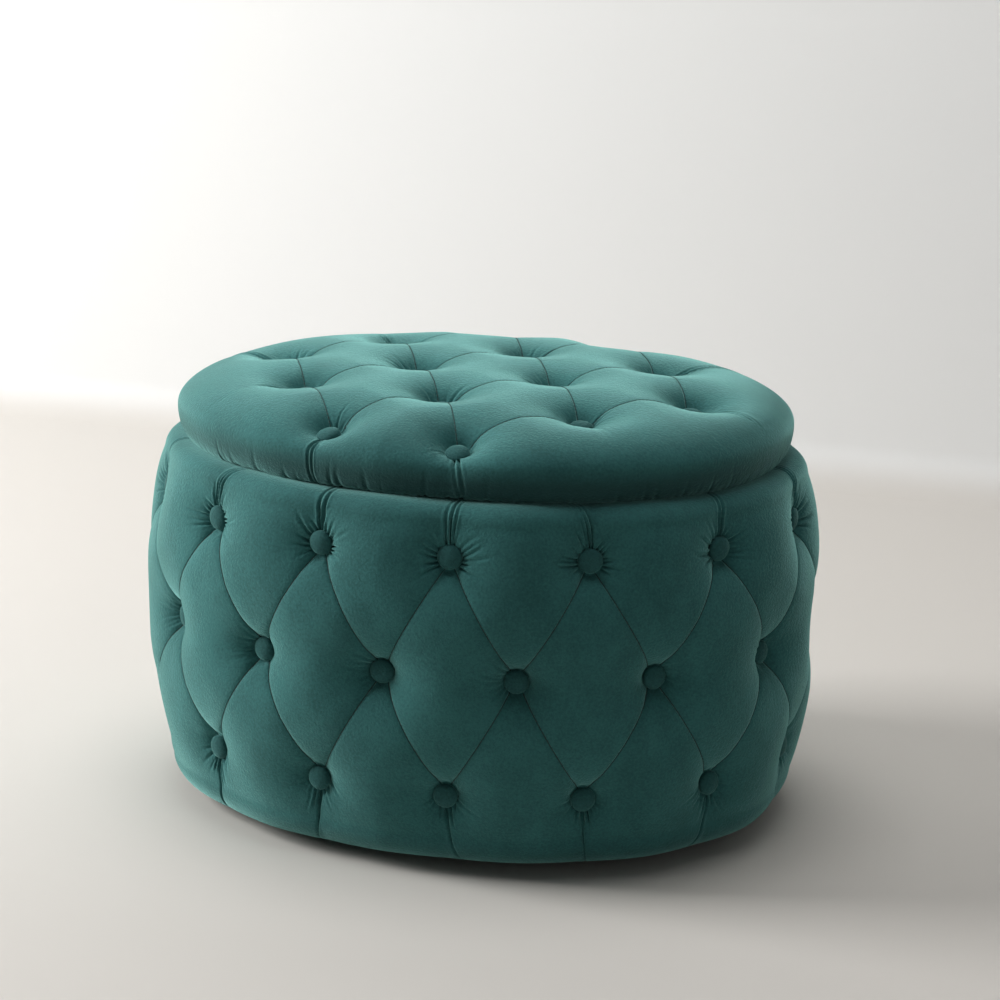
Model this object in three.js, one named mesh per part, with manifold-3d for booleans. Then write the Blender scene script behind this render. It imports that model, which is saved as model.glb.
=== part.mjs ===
// Oval storage ottoman: a deep-buttoned padded tub with a lift-off, deep-buttoned padded lid.
// Millimetres, +Z up. The origin is at floor level in the middle of the oval, and +X runs along its length.
import * as THREE from 'three';
import { mergeVertices } from 'three/addons/utils/BufferGeometryUtils.js';
import Module from 'manifold-3d';

const wasm = await Module();
wasm.setup();

// ---- Outside ----
const LENGTH = 660; // over the padding, along X
const WIDTH = 550; // over the padding, along Y
const HEIGHT = 426; // floor to the crown of the lid
const OVAL_POWER = 2.12; // 2 is a true ellipse, more squares its shoulders
const LID_HEIGHT = 73; // from the lid's underside to its crown

// ---- Padding of the tub ----
const BELLY = 74; // how far the padding's side line would draw in at its very ends
const BELLY_HEIGHT = 214; // from the floor to its widest line
const BELLY_POWER = 2.8; // how square that side line is
const TOP_ROLL = 18; // radius of the roll at the tub's rim
const BOTTOM_ROLL = 30; // height of the roll at the tub's foot, which runs in to the wall
const COVER_THICK = 1.5; // velvet with its backing
const TURN_UNDER = 26; // velvet stapled under the base
const TURN_IN = 8; // velvet turned down past the rim ring's lower face

// ---- Frame of the tub ----
const PAD_THICK = 48; // from the padding's widest line in to the wall
const WALL_THICK = 5; // bent hardboard
const BASE_THICK = 12; // plywood
const RIM_THICK = 12; // plywood
const RIM_WIDTH = 29;
const POST_DEPTH = 25;
const POST_WIDTH = 38;
const POST_COUNT = 8;
const NOTCH_DEPTH = 16; // clearance in a post for the lacing twine
const NOTCH_HEIGHT = 16;
const LINER_THICK = 2; // card faced with black cloth
const DUST_COVER_THICK = 1;

// ---- Feet ----
const GLIDE_HEIGHT = 10;
const GLIDE_RADIUS = 16;
const GLIDE_COUNT = 6;
const GLIDE_INSET = 118; // from the padding's widest line to a glide's centre
const GLIDE_NAIL_RADIUS = 1.6;
const GLIDE_NAIL_LENGTH = 12;
const GLIDE_CHAMFER = 1;

// ---- Lid ----
const LID_INSET = 30; // the lid is this much smaller all round than the tub
const LID_TUCK = 13; // its lower edge draws in by this much more
const LID_WAIST = 30; // height of its widest line above its underside
const LID_CROWN_POWER = 4; // how square its crown is
const LID_BOARD_THICK = 12; // plywood
const LID_BOARD_EDGE = 22; // padding round the board's edge
const LID_TURN_UNDER = 28; // velvet stapled under the board
const CLEAT_HEIGHT = 15;
const CLEAT_DEPTH = 18;
const CLEAT_LENGTH = 110;
const CLEAT_PLAY = 3; // free play between a cleat and the tub's mouth
const SCREW_RADIUS = 1.9;
const SCREW_HEAD_RADIUS = 4;
const SCREW_BITE = 9; // how far a screw goes into the lid board
const SCREW_RECESS = 0.8; // how deep a screw's head sits in its cleat
const SCREW_SPACING = 70;

// ---- Buttons and twine ----
const BUTTON_RADIUS = 11.5;
const BUTTON_RIM = 2.5; // thickness of a button's edge
const BUTTON_DOME = 5.5; // height of its dome over that edge
const BUTTON_SHOULDER = 0.78; // where its dome turns over, as a share of its radius
const TWINE_RADIUS = 1.3;
const TWINE_STAND_OFF = 2.5; // from the wall's inner face to the lacing
const TWINE_HOLE_SIDE = 5; // a square hole for the twine, in wood and foam
const DIMPLE_FLARE = 11; // how much wider than a button a dimple is at its mouth
const DIMPLE_PLAY = 1.5; // round a button, at a dimple's floor
const BUTTONS_PER_ROW = 14;
const BUTTON_SINK = 15.5; // from the padding's widest line in to a button's dome
const BUTTON_PHASE = 0.86; // where the first button sits, in steps from the +X end
const ROW_TOP_DROP = 47; // from the tub's rim down to its top row
const ROW_BOTTOM_RISE = 70; // from the tub's foot up to its bottom row
const LID_ROW_COUNTS = [2, 3, 4, 3, 2];
const LID_END_MARGIN = 88; // from the lid's end to the last button of its longest row
const LID_SIDE_MARGIN = 37; // from the lid's side to its first row
const LID_END_ROW_CLOSER = 13; // how much closer the buttons of the first and last rows stand
const LID_PATTERN_TURN = -7; // degrees, seen from above
const LID_BUTTON_SINK = 11; // from the crown down to a button's dome
const LID_DIMPLE_CLEAR = 16; // how far a dimple's tool runs past the crown above its button
const LID_TOGGLE_RADIUS = 5; // disc that holds the twine under the lid board
const LID_TOGGLE_THICK = 2.5;

// ---- Fits and facets ----
const GAP = 0.3; // between pieces that touch
const OVAL_FACETS = 32;
const ROUND_FACETS = 8; // on a button
const HOLE_FACETS = 6; // on a hole, a dimple or a screw
const CUT_PAST = 1; // how far a cutting tool runs past what it cuts

// ---- Levels and lines that follow from the sizes above ----
const halfLength = LENGTH / 2;
const halfDifference = (LENGTH - WIDTH) / 2;
const lidUnderside = HEIGHT - LID_HEIGHT;
const tubTop = lidUnderside - GAP;
const tubBottom = GLIDE_HEIGHT;
const frameBottom = tubBottom + COVER_THICK + GAP;
const frameTop = tubTop - COVER_THICK - GAP;
const baseTop = frameBottom + BASE_THICK;
const rimBottom = frameTop - RIM_THICK;
const wallInner = PAD_THICK + WALL_THICK;
const frameInset = wallInner + GAP;
const rimInner = frameInset + RIM_WIDTH;
const linerOuter = frameInset + POST_DEPTH + GAP;
const mouthInset = rimInner + GAP + COVER_THICK;
const underEnd = PAD_THICK + TURN_UNDER;
const lidBoardInset = LID_INSET + LID_BOARD_EDGE;
const lidBoardBottom = lidUnderside + COVER_THICK + GAP;
const lidBoardTop = lidBoardBottom + LID_BOARD_THICK;
const lidLowerEdge = LID_INSET + LID_TUCK;
const lidUnderEnd = lidBoardInset + LID_TURN_UNDER;
const buttonHeight = BUTTON_RIM + BUTTON_DOME;
const dimpleFloorRadius = BUTTON_RADIUS + DIMPLE_PLAY;
const rowTopHeight = tubTop - ROW_TOP_DROP;
const rowBottomHeight = tubBottom + ROW_BOTTOM_RISE;
const rowMiddleHeight = (rowTopHeight + rowBottomHeight) / 2;
const longestLidRow = Math.max(...LID_ROW_COUNTS);
const shortestLidRow = Math.min(...LID_ROW_COUNTS);
const lidButtonSpacing = (LENGTH - 2 * (LID_INSET + LID_END_MARGIN)) / (longestLidRow - 1);
const lidRowPitch = (WIDTH - 2 * (LID_INSET + LID_SIDE_MARGIN)) / (LID_ROW_COUNTS.length - 1);

// ---- Materials ----
const velvet = new THREE.MeshStandardMaterial({ color: 0x235f5b, roughness: 0.85, metalness: 0 });
const foam = new THREE.MeshStandardMaterial({ color: 0xe8dcb0, roughness: 0.95, metalness: 0 });
const plywood = new THREE.MeshStandardMaterial({ color: 0xc9a472, roughness: 0.7, metalness: 0 });
const hardboard = new THREE.MeshStandardMaterial({ color: 0x7a5634, roughness: 0.75, metalness: 0 });
const lining = new THREE.MeshStandardMaterial({ color: 0x1c1c1e, roughness: 0.95, metalness: 0 });
const plastic = new THREE.MeshStandardMaterial({ color: 0x141414, roughness: 0.5, metalness: 0 });
const steel = new THREE.MeshStandardMaterial({ color: 0xb0b2b4, roughness: 0.35, metalness: 0.9 });

const ottoman = new THREE.Group();
const tub = new THREE.Group();
const lid = new THREE.Group();
ottoman.add(tub, lid);

function place(group, name, geometry, material) {
  const mesh = new THREE.Mesh(geometry, material);
  mesh.name = name;
  group.add(mesh);
}

// ---- The oval ----
// A ring of the oval is named by its inset, its distance in from the padding's widest line.
function signedPower(value, power) {
  return Math.sign(value) * Math.abs(value) ** power;
}

function semiAxes(inset) {
  const along = halfLength - inset;
  const least = halfDifference * 2;
  const across = along > least ? along - halfDifference : along / 2;
  return { along, across };
}

function ovalPoint(inset, angle) {
  const { along, across } = semiAxes(inset);
  const power = 2 / OVAL_POWER;
  const x = along * signedPower(Math.cos(angle), power);
  const y = across * signedPower(Math.sin(angle), power);
  return new THREE.Vector2(x, y);
}

function ovalNormal(inset, point) {
  const { along, across } = semiAxes(inset);
  const x = signedPower(point.x / along, OVAL_POWER - 1) / along;
  const y = signedPower(point.y / across, OVAL_POWER - 1) / across;
  return new THREE.Vector2(x, y).normalize();
}

// Points at equal steps of length round the ring at this inset, the first at the +X end.
const FINE_STEPS = 1440;

function pointAlong(inset, share) {
  const points = [];
  const lengths = [0];
  for (let i = 0; i <= FINE_STEPS; i++) {
    points.push(ovalPoint(inset, (i / FINE_STEPS) * 2 * Math.PI));
    if (i > 0) lengths.push(lengths[i - 1] + points[i].distanceTo(points[i - 1]));
  }
  const wanted = (share - Math.floor(share)) * lengths[FINE_STEPS];
  const next = Math.max(1, lengths.findIndex((length) => length >= wanted));
  const step = (wanted - lengths[next - 1]) / (lengths[next] - lengths[next - 1]);
  const point = points[next - 1].clone().lerp(points[next], step);
  return { point, normal: ovalNormal(inset, point) };
}

// ---- Geometry helpers ----
// A lathe whose every ring is drawn out to the oval. The profile is [inset, height] pairs, and CENTRE is
// the axis.
const CENTRE = Infinity;

function ovalLathe(profile, facets = OVAL_FACETS) {
  const radius = (inset) => (inset === CENTRE ? 0 : halfLength - inset);
  const points = profile.map(([inset, z]) => new THREE.Vector2(radius(inset), z));
  const geometry = new THREE.LatheGeometry(points, facets);
  const position = geometry.getAttribute('position');
  for (let i = 0; i < position.count; i++) {
    const ring = Math.hypot(position.getX(i), position.getZ(i));
    const angle = Math.atan2(position.getX(i), position.getZ(i));
    const onRing = ring > 0 ? ovalPoint(halfLength - ring, angle) : new THREE.Vector2();
    position.setXYZ(i, onRing.x, onRing.y, position.getY(i));
  }
  return geometry;
}

// A flat oval plate, or a flat oval ring where it has an inner line.
function ovalPlate(outer, bottom, top, inner = CENTRE) {
  if (inner === CENTRE) return ovalLathe([[CENTRE, bottom], [outer, bottom], [outer, top], [CENTRE, top]]);
  return ovalLathe([[outer, bottom], [outer, top], [inner, top], [inner, bottom], [outer, bottom]]);
}

function solidOf(geometry) {
  const bare = geometry.clone();
  bare.deleteAttribute('normal');
  bare.deleteAttribute('uv');
  const merged = mergeVertices(bare, 1e-3);
  const corners = merged.index.array;
  const kept = [];
  for (let i = 0; i < corners.length; i += 3) {
    const [a, b, c] = corners.slice(i, i + 3);
    if (a !== b && b !== c && c !== a) kept.push(a, b, c);
  }
  return new wasm.Manifold(new wasm.Mesh({
    numProp: 3,
    vertProperties: merged.getAttribute('position').array,
    triVerts: new Uint32Array(kept),
  }));
}

function geometryOf(solid) {
  const mesh = solid.getMesh();
  const geometry = new THREE.BufferGeometry();
  geometry.setAttribute('position', new THREE.BufferAttribute(mesh.vertProperties, 3));
  geometry.setIndex(new THREE.BufferAttribute(mesh.triVerts, 1));
  geometry.computeVertexNormals();
  return geometry;
}

function cut(geometry, tools) {
  return geometryOf(tools.reduce((solid, tool) => solid.subtract(solidOf(tool)), solidOf(geometry)));
}

function join(geometries) {
  return geometryOf(geometries.map(solidOf).reduce((whole, piece) => whole.add(piece)));
}

// A turned piece on a site: its profile is [radius, distance] pairs, measured out along the site's direction.
function turned(profile, site, facets = ROUND_FACETS) {
  const geometry = new THREE.LatheGeometry(profile.map(([r, d]) => new THREE.Vector2(r, d)), facets);
  const turn = new THREE.Quaternion().setFromUnitVectors(new THREE.Vector3(0, 1, 0), site.direction);
  return geometry.applyQuaternion(turn).translate(site.point.x, site.point.y, site.point.z);
}

function rod(radius, from, to, site, facets = HOLE_FACETS) {
  return turned([[0, from], [radius, from], [radius, to], [0, to]], site, facets);
}

// A hole whose flats clear a round piece of this radius.
function roundHole(radius, from, to, site) {
  return rod((radius + GAP) / Math.cos(Math.PI / HOLE_FACETS), from, to, site);
}

function twineHole(from, to, site) {
  return rod(TWINE_HOLE_SIDE / Math.SQRT2, from, to, site, 4);
}

// A loop of twine that runs straight from each point to the next, level all the way.
function lacingLoop(points) {
  const corners = (offset) => points.map((p) => new THREE.Vector2(p.x, p.y)).map((p) => {
    return p.clone().addScaledVector(p.clone().normalize(), offset);
  });
  const outline = new THREE.Shape(corners(TWINE_RADIUS));
  outline.holes.push(new THREE.Path(corners(-TWINE_RADIUS)));
  return new THREE.ExtrudeGeometry(outline, { depth: 2 * TWINE_RADIUS, bevelEnabled: false })
    .translate(0, 0, points[0].z - TWINE_RADIUS);
}

// ---- Buttons ----
// A site's point lies on the fabric that the button presses on, and its direction leads out of the padding.
function buttonProfile(backReach) {
  const shoulder = BUTTON_RADIUS * BUTTON_SHOULDER;
  return [
    [0, -backReach],
    [TWINE_RADIUS, -backReach],
    [TWINE_RADIUS, 0],
    [BUTTON_RADIUS, 0],
    [BUTTON_RADIUS, BUTTON_RIM],
    [shoulder, BUTTON_RIM + BUTTON_DOME * Math.sqrt(1 - BUTTON_SHOULDER ** 2)],
    [0, buttonHeight],
  ];
}

// The dimple that a button draws into the padding. offset pushes the tool's whole surface into the padding.
function dimple(site, mouth, offset) {
  const floor = -GAP - offset;
  const flare = DIMPLE_FLARE * (mouth - floor) / (mouth + GAP);
  return turned([
    [0, floor],
    [dimpleFloorRadius + offset, floor],
    [dimpleFloorRadius + offset + flare, mouth],
    [0, mouth],
  ], site, HOLE_FACETS);
}

// Sites on the tub. Each row's buttons stand midway between those of the row below.
const tubRows = [
  { name: 'top', height: rowTopHeight, stagger: 0 },
  { name: 'middle', height: rowMiddleHeight, stagger: 0.5 },
  { name: 'bottom', height: rowBottomHeight, stagger: 0 },
];
const seatDistance = PAD_THICK - BUTTON_SINK - buttonHeight; // from the wall's face out to a button's back

function tubSite(row, column) {
  const { point, normal } = pointAlong(PAD_THICK, (column + row.stagger + BUTTON_PHASE) / BUTTONS_PER_ROW);
  const direction = new THREE.Vector3(normal.x, normal.y, 0);
  const onWall = new THREE.Vector3(point.x, point.y, row.height);
  return { point: onWall.addScaledVector(direction, seatDistance), direction };
}

for (const row of tubRows) {
  row.sites = Array.from({ length: BUTTONS_PER_ROW }, (_, column) => tubSite(row, column));
}
const tubSites = tubRows.flatMap((row) => row.sites);

// ---- Tub padding ----
// The side line starts at floor level and ends a roll's height above the rim.
function bellyInset(z) {
  const end = z < BELLY_HEIGHT ? 0 : tubTop + TOP_ROLL;
  const reach = Math.min(1, (z - BELLY_HEIGHT) / (end - BELLY_HEIGHT));
  return BELLY * (1 - (1 - reach ** BELLY_POWER) ** (1 / BELLY_POWER));
}

// A quarter of an oval from the side line at this level, in to another inset at another level.
function roll(z, innerInset, endZ, offset, steps) {
  const inset = bellyInset(z);
  const across = innerInset - inset - offset;
  const up = endZ - z - Math.sign(endZ - z) * offset;
  return Array.from({ length: steps }, (_, i) => {
    const angle = ((i + 1) / steps) * Math.PI / 2;
    return [innerInset - across * Math.cos(angle), z + up * Math.sin(angle)];
  });
}

// The padding's outside from the fabric's end under the base, round the belly, to its end inside the mouth,
// drawn in by offset all the way.
function paddingLine(offset) {
  const footSteps = 4;
  const rimSteps = 2;
  const low = tubBottom + BOTTOM_ROLL;
  const high = tubTop - TOP_ROLL;
  const levels = [low, (low + BELLY_HEIGHT) / 2, BELLY_HEIGHT, (BELLY_HEIGHT + high) / 2, high];
  const side = levels.map((z) => [bellyInset(z) + offset, z]);
  const foot = roll(low, PAD_THICK, tubBottom, offset, footSteps).reverse();
  const rim = roll(high, bellyInset(high) + TOP_ROLL, tubTop, offset, rimSteps);
  const mouth = mouthInset - offset;
  return [
    [underEnd, tubBottom + offset],
    ...foot,
    ...side,
    ...rim,
    [mouth, tubTop - offset],
    [mouth, rimBottom - TURN_IN],
  ];
}

function closedLoop(outer, inner) {
  return [...outer, ...inner.reverse(), outer[0]];
}

// Where a dimple's tool ends, outside the padding.
const tubMouth = BUTTON_SINK + buttonHeight + CUT_PAST;

const coverLoop = closedLoop(paddingLine(0), paddingLine(COVER_THICK));
const coverHoles = tubSites.map((site) => dimple(site, tubMouth, 0));
place(tub, 'tub_cover', cut(ovalLathe(coverLoop), coverHoles), velvet);

const foamOuter = paddingLine(COVER_THICK + GAP).filter(([inset]) => inset < PAD_THICK - GAP);
const foamLine = [[PAD_THICK - GAP, frameBottom], ...foamOuter, [PAD_THICK - GAP, frameTop]];
const foamHoles = tubSites.flatMap((site) => [
  dimple(site, tubMouth, COVER_THICK),
  twineHole(-seatDistance - WALL_THICK, 0, site),
]);
place(tub, 'tub_foam', cut(ovalLathe(closedLoop(foamLine, [])), foamHoles), foam);

// ---- Tub frame ----
// Posts stand between the button columns. The wall's two panels meet on the first post and the middle one.
const columnCount = BUTTONS_PER_ROW * 2;

function postShare(index) {
  const column = Math.round((index * columnCount) / POST_COUNT);
  return (column + 0.5 + 2 * BUTTON_PHASE) / columnCount;
}

const wallHoles = tubSites.map((site) => twineHole(-seatDistance - 2 * WALL_THICK, WALL_THICK, site));
const seamPoint = pointAlong(frameInset, postShare(0)).point;
const seamAngle = Math.atan2(seamPoint.y, seamPoint.x);

// side is 1 for the half to the rear of the line between the two seams, and -1 for the half in front of it.
function wallPanel(side) {
  const ring = ovalPlate(PAD_THICK, frameBottom, frameTop, wallInner);
  const otherHalf = new THREE.BoxGeometry(2 * LENGTH, LENGTH, 2 * HEIGHT)
    .translate(0, -side * (LENGTH / 2 - GAP / 2), HEIGHT / 2)
    .rotateZ(seamAngle);
  return cut(ring, [otherHalf, ...wallHoles]);
}

place(tub, 'wall_panel_rear', wallPanel(1), hardboard);
place(tub, 'wall_panel_front', wallPanel(-1), hardboard);

for (let index = 0; index < POST_COUNT; index++) {
  const { point, normal } = pointAlong(frameInset, postShare(index));
  const height = rimBottom - baseTop - 2 * GAP;
  const toPlace = (geometry, inward, z) => geometry
    .translate(-inward, 0, z)
    .rotateZ(Math.atan2(normal.y, normal.x))
    .translate(point.x, point.y, 0);
  const post = toPlace(
    new THREE.BoxGeometry(2 * POST_DEPTH, POST_WIDTH, height),
    0,
    baseTop + GAP + height / 2,
  );
  const beyondWall = ovalPlate(0, baseTop, rimBottom, frameInset);
  const notches = tubRows.map((row) => toPlace(
    new THREE.BoxGeometry(2 * NOTCH_DEPTH, POST_WIDTH + 2 * CUT_PAST, NOTCH_HEIGHT),
    0,
    row.height,
  ));
  place(tub, `post_${index + 1}`, cut(post, [beyondWall, ...notches]), plywood);
}

place(tub, 'rim_ring', ovalPlate(frameInset, rimBottom, frameTop, rimInner), plywood);
const linerInner = linerOuter + LINER_THICK;
const linerFoot = baseTop + GAP;
place(tub, 'well_liner', ovalPlate(linerOuter, linerFoot, rimBottom - GAP, linerInner), lining);
place(tub, 'floor_liner', ovalPlate(linerInner + GAP, linerFoot, linerFoot + LINER_THICK), lining);

// ---- Glides under the base ----
const glideTop = GLIDE_HEIGHT - GAP;
const glideSites = Array.from({ length: GLIDE_COUNT }, (_, i) => {
  const { point } = pointAlong(GLIDE_INSET, (i + 0.5) / GLIDE_COUNT);
  return { point: new THREE.Vector3(point.x, point.y, 0), direction: new THREE.Vector3(0, 0, 1) };
});
const nailTip = glideTop + GLIDE_NAIL_LENGTH;
const nailHoles = glideSites.map((site) => roundHole(GLIDE_NAIL_RADIUS, -CUT_PAST, nailTip + GAP, site));
place(tub, 'base_board', cut(ovalPlate(frameInset, frameBottom, baseTop), nailHoles), plywood);
const dustBottom = frameBottom - GAP - DUST_COVER_THICK;
const dustCover = ovalPlate(underEnd + GAP, dustBottom, frameBottom - GAP);
place(tub, 'dust_cover', cut(dustCover, nailHoles), lining);
glideSites.forEach((site, i) => {
  const profile = [
    [0, 0],
    [GLIDE_RADIUS - GLIDE_CHAMFER, 0],
    [GLIDE_RADIUS, GLIDE_CHAMFER],
    [GLIDE_RADIUS, glideTop],
    [GLIDE_NAIL_RADIUS, glideTop],
    [GLIDE_NAIL_RADIUS, nailTip - GLIDE_NAIL_RADIUS],
    [0, nailTip],
  ];
  place(tub, `glide_${i + 1}`, turned(profile, site), plastic);
});

// ---- Rows of buttons, laced together behind the wall ----
const lacingReach = seatDistance + WALL_THICK + TWINE_STAND_OFF + TWINE_RADIUS;

for (const row of tubRows) {
  const buttons = row.sites.map((site) => turned(buttonProfile(lacingReach), site));
  const turns = row.sites.map((site) => site.point.clone().addScaledVector(site.direction, -lacingReach));
  place(tub, `button_row_${row.name}`, join([lacingLoop(turns), ...buttons]), velvet);
}

// ---- Lid ----
const crownBase = lidUnderside + LID_WAIST;

// Height of the crown over a point, drawn in by offset.
function crownHeight(x, y) {
  const { along, across } = semiAxes(LID_INSET);
  const ring = (Math.abs(x / along) ** OVAL_POWER + Math.abs(y / across) ** OVAL_POWER) ** (1 / OVAL_POWER);
  const rise = Math.sqrt(1 - Math.min(1, ring) ** LID_CROWN_POWER);
  return crownBase + (HEIGHT - crownBase) * rise;
}

function lidLine(offset) {
  const crownSteps = 4;
  const lowerSteps = 2;
  const radius = halfLength - LID_INSET - offset;
  const crown = Array.from({ length: crownSteps + 1 }, (_, i) => {
    const angle = (i / crownSteps) * Math.PI / 2;
    const ring = radius * Math.cos(angle) ** (2 / LID_CROWN_POWER);
    const inset = i === crownSteps ? CENTRE : halfLength - ring;
    return [inset, crownBase + (HEIGHT - offset - crownBase) * Math.sin(angle)];
  });
  const lower = Array.from({ length: lowerSteps }, (_, i) => {
    const angle = (i / lowerSteps) * Math.PI / 2;
    const inset = lidLowerEdge + offset - LID_TUCK * Math.sin(angle);
    return [inset, crownBase - (LID_WAIST - offset) * Math.cos(angle)];
  });
  return [...lower, ...crown];
}

const lidTurn = LID_PATTERN_TURN * Math.PI / 180;
const lidSites = LID_ROW_COUNTS.flatMap((count, rowIndex) => {
  const spacing = lidButtonSpacing - (count === shortestLidRow ? LID_END_ROW_CLOSER : 0);
  const y = (rowIndex - (LID_ROW_COUNTS.length - 1) / 2) * lidRowPitch;
  return Array.from({ length: count }, (_, i) => {
    const x = (i - (count - 1) / 2) * spacing;
    const at = new THREE.Vector2(x, y).rotateAround(new THREE.Vector2(), lidTurn);
    const z = crownHeight(at.x, at.y) - LID_BUTTON_SINK - buttonHeight;
    return { point: new THREE.Vector3(at.x, at.y, z), direction: new THREE.Vector3(0, 0, 1) };
  });
});
// The crown slopes across a dimple near the lid's edge, so the tool's mouth is well above the button.
const lidMouth = buttonHeight + LID_BUTTON_SINK + LID_DIMPLE_CLEAR;

const lidCoverLoop = [
  [lidUnderEnd, lidUnderside],
  ...lidLine(0),
  ...lidLine(COVER_THICK).reverse(),
  [lidUnderEnd, lidUnderside + COVER_THICK],
  [lidUnderEnd, lidUnderside],
];
const lidCoverHoles = lidSites.map((site) => dimple(site, lidMouth, 0));
place(lid, 'lid_cover', cut(ovalLathe(lidCoverLoop), lidCoverHoles), velvet);

const lidFoamLoop = [
  [CENTRE, lidBoardTop + GAP],
  [lidBoardInset - GAP, lidBoardTop + GAP],
  [lidBoardInset - GAP, lidBoardBottom],
  ...lidLine(COVER_THICK + GAP),
];
const lidFoamHoles = lidSites.flatMap((site) => [
  dimple(site, lidMouth, COVER_THICK),
  twineHole(lidBoardTop - site.point.z - CUT_PAST, 0, site),
]);
place(lid, 'lid_foam', cut(ovalLathe(lidFoamLoop), lidFoamHoles), foam);

// ---- Lid board, cleats and screws ----
const screwHeadHeight = SCREW_HEAD_RADIUS - SCREW_RADIUS;
const cleatBottom = lidUnderside - CLEAT_HEIGHT;
const cleats = [
  { name: 'right', share: 0 },
  { name: 'rear', share: 0.25 },
  { name: 'left', share: 0.5 },
  { name: 'front', share: 0.75 },
].map(({ name, share }) => {
  const { point, normal } = pointAlong(mouthInset + CLEAT_PLAY, share);
  const across = new THREE.Vector2(-normal.y, normal.x);
  const middle = point.clone().addScaledVector(normal, -CLEAT_DEPTH / 2);
  const screws = [-1, 1].map((side) => {
    const at = middle.clone().addScaledVector(across, (side * SCREW_SPACING) / 2);
    return { point: new THREE.Vector3(at.x, at.y, cleatBottom), direction: new THREE.Vector3(0, 0, 1) };
  });
  return { name, share, screws };
});
const screwSites = cleats.flatMap((cleat) => cleat.screws);
const screwTip = lidBoardBottom - cleatBottom + SCREW_BITE;
const screwHoles = screwSites.map((site) => roundHole(SCREW_RADIUS, -CUT_PAST, screwTip + GAP, site));

const boardHoles = lidSites.flatMap((site) => {
  const underBoard = new THREE.Vector3(site.point.x, site.point.y, lidBoardBottom);
  const board = { point: underBoard, direction: site.direction };
  return [
    twineHole(-CUT_PAST, LID_BOARD_THICK + CUT_PAST, board),
    roundHole(LID_TOGGLE_RADIUS, -CUT_PAST, LID_TOGGLE_THICK + GAP, board),
  ];
});
const lidBoard = ovalPlate(lidBoardInset, lidBoardBottom, lidBoardTop);
place(lid, 'lid_board', cut(lidBoard, [...boardHoles, ...screwHoles]), plywood);

const lidLiner = ovalPlate(lidUnderEnd + GAP, lidUnderside + GAP, lidBoardBottom - GAP);
place(lid, 'lid_liner', cut(lidLiner, screwHoles), lining);

// A cleat's outer face follows the tub's mouth.
function cleatGeometry(share) {
  const steps = 4;
  const { along, across } = semiAxes(mouthInset + CLEAT_PLAY);
  const roundLength = Math.PI * (along + across);
  const span = CLEAT_LENGTH / roundLength;
  const outer = [];
  const inner = [];
  for (let i = 0; i <= steps; i++) {
    const { point, normal } = pointAlong(mouthInset + CLEAT_PLAY, share + span * (i / steps - 0.5));
    outer.push(point);
    inner.push(point.clone().addScaledVector(normal, -CLEAT_DEPTH));
  }
  const outline = new THREE.Shape([...outer, ...inner.reverse()]);
  return new THREE.ExtrudeGeometry(outline, { depth: CLEAT_HEIGHT, bevelEnabled: false })
    .translate(0, 0, cleatBottom);
}

const screwProfile = [
  [0, SCREW_RECESS],
  [SCREW_HEAD_RADIUS, SCREW_RECESS],
  [SCREW_RADIUS, SCREW_RECESS + screwHeadHeight],
  [SCREW_RADIUS, screwTip - 2 * SCREW_RADIUS],
  [0, screwTip],
];
const countersinkProfile = [
  [0, -CUT_PAST],
  [SCREW_HEAD_RADIUS + GAP, -CUT_PAST],
  [SCREW_HEAD_RADIUS + GAP, SCREW_RECESS],
  [SCREW_RADIUS + GAP, SCREW_RECESS + screwHeadHeight],
  [0, SCREW_RECESS + screwHeadHeight],
];

cleats.forEach((cleat) => {
  const sinks = cleat.screws.map((site) => turned(countersinkProfile, site, HOLE_FACETS));
  const holes = cleat.screws.map((site) => {
    return roundHole(SCREW_RADIUS, -CUT_PAST, CLEAT_HEIGHT + CUT_PAST, site);
  });
  place(lid, `lid_cleat_${cleat.name}`, cut(cleatGeometry(cleat.share), [...sinks, ...holes]), plywood);
  cleat.screws.forEach((site, i) => {
    place(lid, `cleat_screw_${cleat.name}_${i + 1}`, turned(screwProfile, site, HOLE_FACETS), steel);
  });
});

// ---- Lid buttons, each held by its twine and a toggle under the board ----
lidSites.forEach((site, i) => {
  const toBoard = site.point.z - lidBoardBottom;
  const profile = [
    [0, -toBoard],
    [LID_TOGGLE_RADIUS, -toBoard],
    [LID_TOGGLE_RADIUS, -toBoard + LID_TOGGLE_THICK],
    ...buttonProfile(toBoard - LID_TOGGLE_THICK).slice(1),
  ];
  place(lid, `lid_button_${String(i + 1).padStart(2, '0')}`, turned(profile, site), velvet);
});

export default ottoman;
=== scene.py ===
import math

import bmesh
import bpy
import numpy as np
from mathutils import Matrix, Vector


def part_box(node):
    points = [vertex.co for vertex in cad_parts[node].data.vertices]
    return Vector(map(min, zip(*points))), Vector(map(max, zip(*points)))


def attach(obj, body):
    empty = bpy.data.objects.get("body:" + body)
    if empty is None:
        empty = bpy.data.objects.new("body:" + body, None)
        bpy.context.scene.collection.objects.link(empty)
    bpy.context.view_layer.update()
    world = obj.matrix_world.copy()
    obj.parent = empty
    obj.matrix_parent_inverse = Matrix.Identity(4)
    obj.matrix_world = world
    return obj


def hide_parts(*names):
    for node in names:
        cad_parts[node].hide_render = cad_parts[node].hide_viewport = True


bl_info = {
    "name": "Buttoned storage ottoman",
    "version": (1, 0, 0),
    "blender": (4, 5, 0),
    "location": "View3D > Sidebar > Ottoman",
    "description": "Makes the velvet, buttons, linings and fixings of an oval storage ottoman",
    "category": "Add Mesh",
}

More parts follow.
